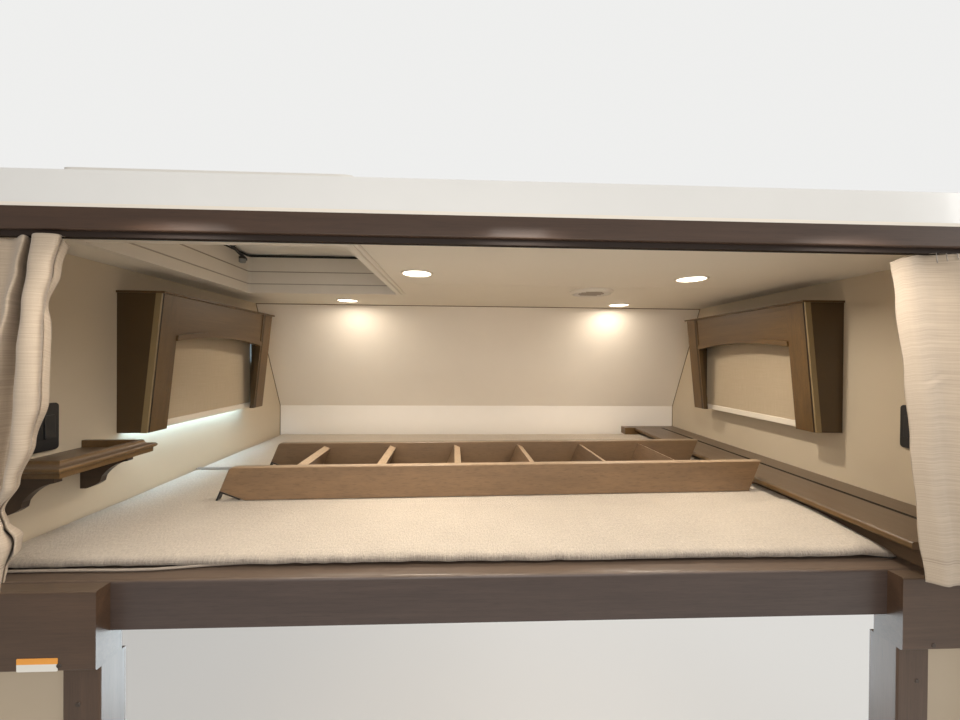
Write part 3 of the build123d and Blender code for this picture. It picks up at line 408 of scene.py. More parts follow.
near_knob = maths(tree, "COMPARE", parts.outputs["Y"], knob_y, 0.0135)
below_arm = maths(tree, "LESS_THAN", parts.outputs["Z"], handle_low[2] + 0.0155)
knob_mask = maths(tree, "MULTIPLY", near_knob, below_arm)
tone = tones(tree, knob_mask, (0.016, 0.016, 0.017, 1), (0.24, 0.24, 0.23, 1))
feed(latch_finish, Base_Color=tone.outputs[2])
dress(latch_finish, "hatch_handle")

# Ceiling lights and vent: pale rings with frosted lenses that glow, each with a small lamp
# under it, and a round vent in cream whose grille in the middle is painted darker, a painted
# shade for its slots.
ring_white = mottled("ring white", (0.76, 0.70, 0.60), (0.72, 0.66, 0.56), 0.35, patch=30.0, grit=500.0,
                     bump=0.04)
dress(ring_white, "downlight_rims")
vent_cream = mottled("vent cream", (0.80, 0.75, 0.66), (0.77, 0.72, 0.63), 0.5, patch=12.0, grit=600.0,
                     bump=0.1)
tree = vent_cream.node_tree
grille_radius = 0.052
vent_low, vent_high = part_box("ceiling_vent")
vent_middle = (Vector(vent_low) + Vector(vent_high)) / 2
place = add(tree, "ShaderNodeTexCoord")
centred = add(tree, "ShaderNodeMapping", {"Vector": place.outputs["Object"], "Location": -vent_middle})
reach = add(tree, "ShaderNodeVectorMath", {0: centred}, operation="LENGTH")
# Painted shade: the grille in the middle is darker, for the shade in its slots
grille_slot_shade = maths(tree, "LESS_THAN", reach.outputs["Value"], grille_radius)
paint_over(vent_cream, grille_slot_shade, (0.42, 0.35, 0.28, 1))
dress(vent_cream, "ceiling_vent")
frosted = surface("frosted lens", (0.95, 0.90, 0.80), 0.4, Emission_Color=(1.0, 0.90, 0.74, 1),
                  Emission_Strength=5.0)
tree = frosted.node_tree
place = add(tree, "ShaderNodeTexCoord")
prisms = add(tree, "ShaderNodeTexVoronoi", {"Vector": place.outputs["Object"], "Scale": 300.0})
relief = add(tree, "ShaderNodeBump", {"Height": prisms, "Strength": 0.2, "Distance": 0.001})
feed(frosted, Normal=relief)
dress(frosted, "downlight_lenses")
# Place, watts and the angle that each cone of light fills
ceiling_lights = [(-0.257, -0.328, 3.4, 2.35), (0.683, -0.312, 3.8, 2.8), (-0.675, 0.292, 1.9, 3.1),
                  (0.692, 0.322, 1.8, 3.1)]
lens_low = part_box("downlight_rims")[0][2]
for index, (x, y, watts, cone) in enumerate(ceiling_lights):
    place = Vector((x, y, lens_low - 0.002))
    area_lamp(f"ceiling_light_{index + 1}", place, place - Vector((0, 0, 1)), (0.06, 0.06), watts,
              (1.0, 0.90, 0.77), cone, "DISK")

# Timber: solid boards stained brown-grey under a satin lacquer, the grain always along the
# board. Faces that look up take a separate tone, which is partly a painted highlight and on
# the ladder treads also the paler edge wood. On the cornice uprights the arrises carry a
# painted highlight, and the grooves and end faces a painted shade.
grain, ins, outs = shader_group(
    "wood grain", [("Vector", "Vector")], [("Figure", "Float"), ("Pores", "Float")]
)
long_map = add(grain, "ShaderNodeMapping", {"Vector": ins.outputs["Vector"], "Scale": (1.6, 17.0, 17.0)})
cloud = clouds(grain, long_map, 1.6, Detail=6.0, Roughness=0.62, Distortion=0.35)
line_map = add(grain, "ShaderNodeMapping", {"Vector": ins.outputs["Vector"], "Scale": (3.0, 110.0, 110.0)})
lines = clouds(grain, line_map, 1.5, Detail=4.0, Roughness=0.7, Distortion=0.2)
pore_map = add(grain, "ShaderNodeMapping", {"Vector": ins.outputs["Vector"], "Scale": (26.0, 900.0, 900.0)})
pores = clouds(grain, pore_map, 1.0, Detail=1.0)
pore_mask = ranged(grain, pores, (0.55, 0.7))
blend = add(grain, "ShaderNodeMix", {0: 0.45, 2: cloud, 3: lines})
figure = ranged(grain, blend, (0.32, 0.68))
grain.links.new(figure.outputs[0], outs.inputs["Figure"])
grain.links.new(pore_mask.outputs[0], outs.inputs["Pores"])

grain_turns = {"x": (0, 0, 0), "y": (0, 0, -math.pi / 2), "z": (0, math.pi / 2, 0)}


def facing_axes(tree):
    """The way that a face looks, as X, Y and Z."""
    facing = add(tree, "ShaderNodeNewGeometry")
    return add(tree, "ShaderNodeSeparateXYZ", {0: facing.outputs["Normal"]})


def timber(name, along, light, dark, top=None, shift=0.0, roughness=0.40, figure=(1, 1, 1), end=None,
           bands=()):
    """Stained wood with its grain along one axis. Top is the tone of faces that look up, partly a
    painted highlight; end is that of faces towards the living area, a painted shade; figure
    stretches the grain; and bands are places along Y, half widths and tones: painted shade in
    grooves and painted highlights on arrises."""
    material = surface(name, light, roughness, Coat_Weight=0.18, Coat_Roughness=0.28)
    tree = material.node_tree
    place = add(tree, "ShaderNodeTexCoord")
    turned = add(tree, "ShaderNodeMapping",
                 {"Vector": place.outputs["Object"], "Rotation": grain_turns[along],
                  "Location": (shift, shift, 0)})
    shaped = add(tree, "ShaderNodeMapping", {"Vector": turned, "Scale": figure})
    look = add(tree, "ShaderNodeGroup", {"Vector": shaped}, node_tree=grain)
    stain = tones(tree, look.outputs["Figure"], (*dark, 1), (*light, 1))
    colour = stain
    if top:
        axes = facing_axes(tree)
        upward = ranged(tree, axes.outputs["Z"], (0.35, 0.8))
        colour = tones(tree, upward, stain.outputs[2], (*top, 1))
    pore_dark = maths(tree, "MULTIPLY", look.outputs["Pores"], 0.35)
    deep = (dark[0] * 0.45, dark[1] * 0.45, dark[2] * 0.45, 1)
    final = tones(tree, pore_dark, colour.outputs[2], deep)
    if end:
        axes = facing_axes(tree)
        end_face_shade = maths(tree, "LESS_THAN", axes.outputs["Y"], -0.7)
        final = tones(tree, end_face_shade, final.outputs[2], (*end, 1))
    parts = add(tree, "ShaderNodeSeparateXYZ", {0: place.outputs["Object"]})
    for band_y, half_band, tone in bands:
        band = maths(tree, "COMPARE", parts.outputs["Y"], band_y, half_band)
        final = tones(tree, band, final.outputs[2], tone)
    gloss = ranged(tree, look.outputs["Figure"], target=(roughness + 0.06, roughness - 0.04))
    relief = add(tree, "ShaderNodeBump", {"Height": look.outputs["Pores"], "Strength": 0.16,
                                          "Distance": -0.0003})
    feed(material, Base_Color=final.outputs[2], Roughness=gloss, Normal=relief)
    return material


stain_light, stain_dark = (0.130, 0.069, 0.019), (0.074, 0.039, 0.011)
frame_light, frame_dark = (0.078, 0.054, 0.044), (0.047, 0.032, 0.027)
# The top tones below are partly painted light, set to how the tops are lit
dress(timber("bunk rail", "x", frame_light, frame_dark, (0.115, 0.080, 0.057)), "bunk_rail")
brown_light, brown_dark = (0.090, 0.049, 0.027), (0.054, 0.029, 0.016)
dress(timber("header", "x", (0.058, 0.026, 0.011), (0.036, 0.016, 0.007), shift=0.4, roughness=0.65),
      "header_beam")
dress(timber("corner blocks", "x", brown_light, brown_dark, (0.115, 0.080, 0.055), shift=1.1),
      "corner_block_left", "corner_block_right")
dress(timber("posts", "z", brown_light, brown_dark, shift=0.7), "post_left", "post_right")
stile_low, stile_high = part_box("cornice_stiles_left")
# Bands on the cornice uprights: a painted highlight along the near arris and painted shade in the grooves
groove_shade, wear_and_highlight = (0.020, 0.012, 0.006, 1), (0.25, 0.18, 0.085, 1)
stile_bands = ((stile_low[1] + 0.0005, 0.0033, wear_and_highlight), (stile_low[1] + 0.0075, 0.0027, groove_shade),
               (stile_high[1] - 0.0718, 0.0021, groove_shade), (stile_high[1] - 0.0648, 0.0021, groove_shade))
# The end faces towards the living area are painted darker: a painted shade
dress(timber("cornice upright", "z", stain_light, stain_dark, shift=1.3, end=(0.062, 0.034, 0.009),
             bands=stile_bands),
      "cornice_stiles_left", "cornice_stiles_right")
dress(timber("cornice along", "y", stain_light, stain_dark, shift=2.1), "cornice_valance_left",
      "cornice_valance_right")
dress(timber("box boards", "y", (0.168, 0.093, 0.031), (0.096, 0.053, 0.018), (0.130, 0.088, 0.056),
             shift=3.4),
      "storage_strip", "storage_lid", "shelf_board")
# The box front is painted lighter than the lid's boards, a painted light that lifts the shade under the lid's
# overhang
dress(timber("box front", "y", (0.25, 0.165, 0.10), (0.17, 0.11, 0.066), shift=3.9), "storage_box")
dress(timber("bracket boards", "x", (0.055, 0.030, 0.017), (0.032, 0.018, 0.011), shift=4.0),
      "shelf_brackets")
# The far rail's tones are scaled darker than the near rail's, a painted shade
rail_tones = ((0.225, 0.136, 0.070), (0.150, 0.090, 0.046), (0.31, 0.22, 0.14))
for rail, shift, part in (("near", 5.2, 1.1), ("far", 7.9, 0.75)):
    light, dark, top = (tuple(part * value for value in tone) for tone in rail_tones)
    dress(timber(f"ladder rail {rail}", "x", light, dark, top, shift=shift, figure=(1.6, 0.45, 0.45)),
          f"ladder_rail_{rail}")
dress(timber("ladder treads", "y", (0.175, 0.106, 0.057), (0.115, 0.069, 0.037), (0.42, 0.30, 0.19),
             shift=6.1, figure=(1.6, 0.45, 0.45)),
      "ladder_treads")

# Small metal and plastic: the box lid's long hinge is bronzed, the curtain track brown enamel,
# the ladder's hooks and the wall plates satin black, and the curtain hooks plated.
plated = mottled("plated steel", (0.36, 0.33, 0.29), (0.30, 0.27, 0.24), 0.38, patch=30.0, grit=900.0,
                 bump=0.1, Metallic=0.85)
bronzed = mottled("bronzed steel", (0.030, 0.024, 0.020), (0.022, 0.018, 0.015), 0.5, patch=30.0, grit=900.0,
                  bump=0.1, Metallic=0.6)
dress(bronzed, "hinge_fixed_leaf", "hinge_lid_leaf")
dress(satin_black, "ladder_hooks", "wall_plate_left", "wall_plate_right")
track_brown = mottled("brown enamel", (0.022, 0.013, 0.009), (0.018, 0.011, 0.008), 0.62, patch=12.0,
                      grit=700.0, bump=0.05, Specular_IOR_Level=0.25)
dress(track_brown, "curtain_track")

# Roller shades: fine woven beige cloth hanging flat from a tube to a cream bar, free at its
# sides. The cloth is cut to the width between the cornice's ends.
shade_cream = mottled("shade cream", (0.80, 0.73, 0.62), (0.77, 0.70, 0.59), 0.45, patch=8.0, grit=500.0,
                      bump=0.06)
dress(shade_cream, "shade_bar_left", "shade_bar_right", "shade_roller_left", "shade_roller_right")

weave, ins, outs = shader_group(
    "weave",
    [("Vector", "Vector"), ("Slub", "Float"), ("Across", "Float")],
    [("Tone", "Float"), ("Height", "Float")],
)
axes = add(weave, "ShaderNodeSeparateXYZ", {0: ins.outputs["Vector"]})
wander = clouds(weave, ins.outputs["Vector"], 0.08, Detail=2.0)
threads = []
for axis, stretch in (("X", (1.0, 0.025, 1.0)), ("Y", (0.014, 1.0, 1.0))):
    bent = maths(weave, "MULTIPLY_ADD", wander, 0.6, axes.outputs[axis])
    turns = maths(weave, "MULTIPLY", bent, 2 * math.pi)
    wave = maths(weave, "SINE", turns)
    run = add(weave, "ShaderNodeMapping", {"Vector": ins.outputs["Vector"], "Scale": stretch})
    uneven = clouds(weave, run, 1.0, Detail=3.0)
    slub = maths(weave, "MULTIPLY_ADD", uneven, ins.outputs["Slub"], wave)
    threads.append((uneven, slub))
over = maths(weave, "MAXIMUM", threads[0][1], threads[1][1])
streak = add(weave, "ShaderNodeMix", {0: ins.outputs["Across"], 2: threads[0][0], 3: threads[1][0]})
tone = ranged(weave, streak, (0.38, 0.62))
weave.links.new(tone.outputs[0], outs.inputs["Tone"])
weave.links.new(over.outputs[0], outs.inputs["Height"])


def woven(name, light, dark, thread, slub, bump, depth, uv=True, roughness=0.85, across=0.5, fuzz=0.0,
          sewn=(), **sockets):
    """Cloth: two close tones along the threads, with the threads themselves as relief. Fuzz is how
    much a loose pile hides them, and sewn gives the heights on the cloth of its sewn lines."""
    material = surface(name, light, roughness, **sockets)
    tree = material.node_tree
    place = add(tree, "ShaderNodeTexCoord")
    vector = place.outputs["UV"]
    if not uv:
        parts = add(tree, "ShaderNodeSeparateXYZ", {0: place.outputs["Object"]})
        round_edge = maths(tree, "ADD", parts.outputs["Y"], parts.outputs["Z"])
        joined = add(tree, "ShaderNodeCombineXYZ", {0: parts.outputs["X"], 1: round_edge})
        vector = joined.outputs[0]
    counted = add(tree, "ShaderNodeMapping", {"Vector": vector, "Scale": (1 / thread, 1 / thread, 1)})
    look = add(tree, "ShaderNodeGroup", {"Vector": counted, "Slub": slub, "Across": across}, node_tree=weave)
    soft = clouds(tree, vector, 9.0, Detail=3.0)
    pile_run = add(tree, "ShaderNodeMapping", {"Vector": vector, "Scale": (300.0, 120.0, 1)})
    pile = clouds(tree, pile_run, 1.0, Detail=3.0, Roughness=0.7)
    tuft = ranged(tree, pile, (0.34, 0.66))
    threads = add(tree, "ShaderNodeMix", {0: fuzz, 2: look.outputs["Tone"], 3: tuft})
    blend = add(tree, "ShaderNodeMix", {0: 0.3, 2: threads, 3: soft})
    colour = tones(tree, blend, (*dark, 1), (*light, 1))
    height = add(tree, "ShaderNodeMix", {0: fuzz, 2: look.outputs["Height"], 3: tuft})
    relief = add(tree, "ShaderNodeBump", {"Height": height, "Strength": bump, "Distance": depth})
    if sewn:
        parts = add(tree, "ShaderNodeSeparateXYZ", {0: vector})
        for line_y in sewn:
            line = maths(tree, "COMPARE", parts.outputs["Y"], line_y, 0.0011)
            colour = tones(tree, line, colour.outputs[2], tuple(0.86 * part for part in dark) + (1,))
    feed(material, Base_Color=colour.outputs[2], Normal=relief)
    return material


def cloth_grid(columns, rows, place):
    """A flat grid of cloth, hung point by point: place(u, v) gives each corner's position.
    Its UV map is in metres of cloth, from the flat size that place carries."""
    bm = bmesh.new()
    bmesh.ops.create_grid(bm, x_segments=columns, y_segments=rows, size=0.5)
    layer = bm.loops.layers.uv.new("cloth")
    for face in bm.faces:
        for loop in face.loops:
            loop[layer].uv = ((loop.vert.co.x + 0.5) * place.width, (loop.vert.co.y + 0.5) * place.length)
    for vert in bm.verts:
        vert.co = place(vert.co.x + 0.5, 0.5 - vert.co.y)
    bmesh.ops.recalc_face_normals(bm, faces=bm.faces)
    return bm


class ShadeCloth:
    """Where each point of a shade hangs: flat, with a faint ripple towards its free edges."""

    def __init__(self, low, high):
        self.low, self.high = low, high
        self.width = high[1] - low[1]
        self.length = high[2] - low[2]

    def __call__(self, u, v):
        y = self.low[1] + u * self.width
        z = self.high[2] - v * self.length
        ripple = 0.0009 * math.sin(9 * u + 2.2 * v) * (abs(2 * u - 1) ** 2) * v
        return Vector(((self.low[0] + self.high[0]) / 2 + ripple, y, z))


def thicken(piece, thickness):
    """Gives a sheet its thickness, half to each side."""
    thick = piece.modifiers.new("thickness", "SOLIDIFY")
    thick.thickness = thickness
    thick.offset = 0


shade_cloth = woven("shade cloth", (0.55, 0.45, 0.32), (0.47, 0.38, 0.26), 0.0016, 0.8, 0.5, 0.0004)
for side_name in ("left", "right"):
    hang = ShadeCloth(*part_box(f"shade_fabric_{side_name}"))
    bm = cloth_grid(24, 16, hang)
    cloth = new_piece(f"shade_cloth_{side_name}", bm, shade_cloth, "loft")
    thicken(cloth, 0.0007)
    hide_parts(f"shade_fabric_{side_name}")

# Mattress: two foam slabs side by side in a cream cover with a fuzzy weave, piped along the
# bottom edge and the seam. The near slab has a nose that laps over the bunk rail.
mattress_cloth = woven("mattress cover", (0.79, 0.69, 0.56), (0.49, 0.41, 0.32), 0.0040, 1.2, 1.0, 0.0030,
                       uv=False, roughness=0.92, fuzz=0.8, Sheen_Weight=0.2)
rail_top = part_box("bunk_rail")[1][2]
# The front face of the edge that hangs over the rail is painted darker, a painted shade broken
# by short upright streaks of pile, and the strip just above the rail top is painted near black,
# a painted shadow in the gap over the rail
tree = mattress_cloth.node_tree
place = add(tree, "ShaderNodeTexCoord")
axes = facing_axes(tree)
outward = ranged(tree, axes.outputs["Y"], (-0.35, -0.97), (0.0, 0.8))
tuft_run = add(tree, "ShaderNodeMapping", {"Vector": place.outputs["Object"], "Scale": (260.0, 14.0, 14.0)})
tufts = clouds(tree, tuft_run, 1.0, Detail=3.0, Roughness=0.7)
streaked = ranged(tree, tufts, (0.35, 0.62), (0.55, 1.0))
nose_shade_streaks = maths(tree, "MULTIPLY", outward, streaked)
paint_over(mattress_cloth, nose_shade_streaks, (0.24, 0.19, 0.155, 1))
# Painted shadow in the gap over the rail: near black up to just above the rail top
heights = add(tree, "ShaderNodeSeparateXYZ", {0: place.outputs["Object"]})
under = maths(tree, "LESS_THAN", heights.outputs["Z"], rail_top + 0.0052)
paint_over(mattress_cloth, under, (0.016, 0.013, 0.011, 1))
voxel = 0.014
inset = 0.004
swell_cap = 0.006
rail_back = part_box("bunk_rail")[1][1]
ladder_end_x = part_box("ladder_rail_near")[1][0]


def smooth(mesh):
    """Shades all faces of a mesh smooth."""
    for polygon in mesh.polygons:
        polygon.use_smooth = True


def evaluated(piece):
    """A new mesh of an object as its modifiers leave it."""
    view = bpy.context.evaluated_depsgraph_get()
    return bpy.data.meshes.new_from_object(piece.evaluated_get(view))


def swell(piece):
    """Fills a closed cover from inside with a cloth simulation, and caps how far it moves."""
    start = [vert.co.copy() for vert in piece.data.vertices]
    cloth = piece.modifiers.new("cover", "CLOTH")
    cloth.settings.quality = 4
    cloth.settings.mass = 0.4
    cloth.settings.use_pressure = True
    cloth.settings.uniform_pressure_force = 4.0
    cloth.settings.effector_weights.gravity = 0.0
    for frame_number in range(1, 21):
        scene.frame_set(frame_number)
    swollen = evaluated(piece)
    piece.modifiers.remove(cloth)
    for vert, old, new in zip(piece.data.vertices, start, swollen.vertices):
        move = new.co - old
        if move.length > swell_cap:
            move *= swell_cap / move.length
        vert.co = old + move
    bpy.data.meshes.remove(swollen)
    scene.frame_set(1)


def slab(name, section, x0, x1, node):
    """A foam slab from its section, rounded, remeshed, swollen and then settled."""
    bm = bmesh.new()
    verts = [bm.verts.new((x0 + inset, y, z)) for y, z in section]
    face = bm.faces.new(verts)
    grown = bmesh.ops.extrude_face_region(bm, geom=[face])
    moved = [item for item in grown["geom"] if isinstance(item, bmesh.types.BMVert)]
    bmesh.ops.translate(bm, vec=(x1 - x0 - 2 * inset, 0, 0), verts=moved)
    bmesh.ops.recalc_face_normals(bm, faces=bm.faces)
    bmesh.ops.bevel(bm, geom=list(bm.edges), offset=0.012, segments=4, profile=0.5, affect="EDGES",
                    material=-1)
    piece = new_piece(name, bm, mattress_cloth)
    remesh = piece.modifiers.new("even faces", "REMESH")
    remesh.mode = "VOXEL"
    remesh.voxel_size = voxel
    even = evaluated(piece)
    piece.modifiers.remove(remesh)
    piece.data = even
    swell(piece)
    for vert in piece.data.vertices:
        settle(vert.co)
    fine = piece.modifiers.new("smooth", "SUBSURF")
    fine.levels = fine.render_levels = 1
    smooth(piece.data)
    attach(piece, "loft")
    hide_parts(node)


near_low, near_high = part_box("mattress_near")
far_low, far_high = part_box("mattress_far")
mattress_top = near_high[2]
nose_y = near_low[1] - 0.013
ladder_clear_y = (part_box("ladder_rail_near")[0][1] - 0.03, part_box("ladder_rail_far")[1][1] + 0.03)


def settle(point):
    """Soft dips and crumples in the cover, a rise along the storage box and a low near corner.
    Nothing rises under the ladder or along the far edge."""
    if point.z < mattress_top - 0.05:
        return
    broad = noise.noise(Vector((point.x * 2.3, point.y * 3.1, 0.3)))
    fine = noise.noise(Vector((point.x * 16, point.y * 11, 4.1)))
    nose = max(0.0, 1 - (point.y - near_low[1]) / 0.09)
    crumple = noise.noise(Vector((point.x * 34, point.y * 22, 9.0)))
    drop = 0.0022 * broad + 0.0010 * fine + 0.0030 * nose * crumple
    point.z += drop
    if nose > 0:
        point.y += 0.0025 * nose * noise.noise(Vector((point.x * 27, point.z * 20, 2.0)))
        lower = min(1.0, max(0.0, (mattress_top - 0.016 - point.z) / 0.013))
        point.y -= 0.007 * lower * max(0.0, 1 - (point.y - nose_y) / 0.022)
    corner = max(0.0, (point.x - 0.86) / 0.13) * max(0.0, 1 - (point.y - near_low[1]) / 0.22)
    at_box = min(1.0, max(0.0, (point.x - 0.84) / 0.09)) * (1 - min(1.0, 1.3 * corner))
    point.z += 0.011 * at_box ** 2 * (3 - 2 * at_box) - 0.014 * corner ** 2
    under_ladder = ladder_clear_y[0] < point.y < ladder_clear_y[1] and point.x < ladder_end_x + 0.03
    top_limit = mattress_top + 0.004 + 0.008 * at_box
    if under_ladder or point.y > far_high[1] - 0.1:
        top_limit = mattress_top - 0.0002
    point.z = min(point.z, top_limit)


near_section = [
    (rail_back + 0.001, near_low[2] + inset),
    (near_high[1] - inset, near_low[2] + inset),
    (near_high[1] - inset, mattress_top - inset),
    (nose_y, mattress_top - inset),
    (nose_y, rail_top + 0.002),
    (rail_back + 0.001, rail_top + 0.002),
]
slab("mattress_near_cover", near_section, near_low[0], near_high[0], "mattress_near")
far_section = [
    (far_low[1] + inset, far_low[2] + inset),
    (far_high[1] - inset, far_low[2] + inset),
    (far_high[1] - inset, mattress_top - inset),
    (far_low[1] + inset, mattress_top - inset),
]
slab("mattress_far_cover", far_section, far_low[0], far_high[0], "mattress_far")

# Piping: a thin round welt of the same weave, its colour darker than the cover's as a painted
# shade, sewn along the nose's lower edge and on both sides of the seam between the slabs.
piping_radius = 0.0032


def tube(name, points, radius, material, body, sides=8):
    """A round bar or welt along a line of points, as a closed mesh."""
    data = bpy.data.curves.new(name, "CURVE")
    data.dimensions = "3D"
    data.bevel_depth = radius
    data.bevel_resolution = sides // 4
    data.use_fill_caps = True
    line = data.splines.new("POLY")
    line.points.add(len(points) - 1)
    for spot, point in zip(line.points, points):
        spot.co = (*point, 1)
    form = bpy.data.objects.new(name, data)
    scene.collection.objects.link(form)
    mesh = evaluated(form)
    bpy.data.objects.remove(form)
    piece = bpy.data.objects.new(name, mesh)
    mesh.materials.clear()
    mesh.materials.append(material)
    smooth(mesh)
    scene.collection.objects.link(piece)
    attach(piece, body)


def welt_line(x0, x1, y, z, steps=90, wander=0.0008):
    """Points along X with a slight wander, as a sewn edge has."""
    line = []
    for index in range(steps + 1):
        x = x0 + (x1 - x0) * index / steps
        line.append((x, y + wander * noise.noise(Vector((x * 9, y, 1))),
                     z + wander * noise.noise(Vector((x * 11, y, 5)))))
    return line


# The welt's tones are darker than the cover's: a painted shade, as it lies in the shade of the nose
piping = woven("piping", (0.34, 0.285, 0.235), (0.28, 0.235, 0.19), 0.0016, 0.6, 0.3, 0.0003, uv=False)
nose_line = [(x, y + 0.030 * max(0.0, (x + 0.80) / 0.25), z)
             for x, y, z in welt_line(near_low[0] + 0.01, -0.55, nose_y - 0.001, rail_top + 0.0048)]
tube("piping_nose", nose_line, piping_radius, piping, "loft")
seam_y = (near_high[1] + far_low[1]) / 2
for name, shift in (("near", -0.006), ("far", 0.006)):
    tube(f"piping_seam_{name}", welt_line(near_low[0] + 0.01, near_high[0] - 0.01, seam_y + shift,
                                          mattress_top - 0.006),
         piping_radius * 0.8, piping, "loft")

# Curtains: lined linen with slubs across it, hanging in folds from hooks in the track. The left
# one is drawn back and tucked in low down, and the right one hangs nearly flat.
linen = woven("curtain linen", (0.49, 0.395, 0.295), (0.37, 0.295, 0.218), 0.0022, 1.5, 0.22, 0.0005,
              across=0.92, sewn=(0.048, 0.0535), Sheen_Weight=0.15)
track_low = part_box("curtain_track")[0][2]
track_mid_y = (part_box("curtain_track")[0][1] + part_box("curtain_track")[1][1]) / 2
crease_half = 0.006


def along_table(table, value):
    """Value read from rows of (place, value), smooth between rows."""
    if value <= table[0][0]:
        return table[0][1]
    for (a, fa), (b, fb) in zip(table, table[1:]):
        if value <= b:
            t = (value - a) / (b - a)
            t = t * t * (3 - 2 * t)
            return fa + (fb - fa) * t
    return table[-1][1]


class FoldedCloth:
    """Cloth that runs smoothly from fold line to fold line. A line has its share of the cloth's
    width, then rows of height, distance from the middle of the loft, and depth behind the track."""

    def __init__(self, side, width, top, foot, lines, ripple, creases=()):
        self.side, self.width, self.top, self.foot = side, width, top, foot
        self.lines, self.ripple, self.creases = lines, ripple, creases
        self.length = along_table(top, 0.5) - along_table(foot, 0.5)

    def __call__(self, u, v):
        high, low = along_table(self.top, u), along_table(self.foot, u)
        z = high - v * (high - low)
        x, y = self.across(u, z)
        wrinkle = self.ripple * noise.noise(Vector((u * 7, v * 14, 3.0 + self.side)))
        wrinkle += self.ripple * 0.5 * noise.noise(Vector((u * 26, v * 8, 8.0 + self.side)))
        for crease_x, crease_z, reach, slant, deep in self.creases:
            along = x - crease_x
            off = (z - crease_z - slant * along) / crease_half
            wrinkle += deep * math.exp(-(along / reach) ** 2) * off * math.exp(-off ** 2)
        return Vector((self.side * x, track_mid_y + y + wrinkle, z))

    def across(self, u, z):
        """Distance from the middle and depth at a share u of the width: a smooth curve."""
        index = 0
        while index < len(self.lines) - 2 and u > self.lines[index + 1][0]:
            index += 1
        spots = [self.read(row, z) for row in self.lines[max(0, index - 1):index + 3]]
        here = min(index, 1)
        (u0, a), (u1, b) = spots[here], spots[here + 1]
        before = spots[here - 1] if here else spots[here]
        after = spots[here + 2] if here + 2 < len(spots) else spots[here + 1]
        t = (u - u0) / (u1 - u0)
        result = []
        for axis in (0, 1):
            leave = (b[axis] - before[1][axis]) / (u1 - before[0]) * (u1 - u0)
            arrive = (after[1][axis] - a[axis]) / (after[0] - u0) * (u1 - u0)
            result.append((2 * t**3 - 3 * t**2 + 1) * a[axis] + (t**3 - 2 * t**2 + t) * leave
                          + (3 * t**2 - 2 * t**3) * b[axis] + (t**3 - t**2) * arrive)
        return result

    def read(self, line, z):
        """A fold line's share of the width, and its place at height z."""
        share, rows = line
        near_middle = along_table([(row[0], row[1]) for row in rows], z)
        return share, (near_middle, along_table([(row[0], row[2]) for row in rows], z))


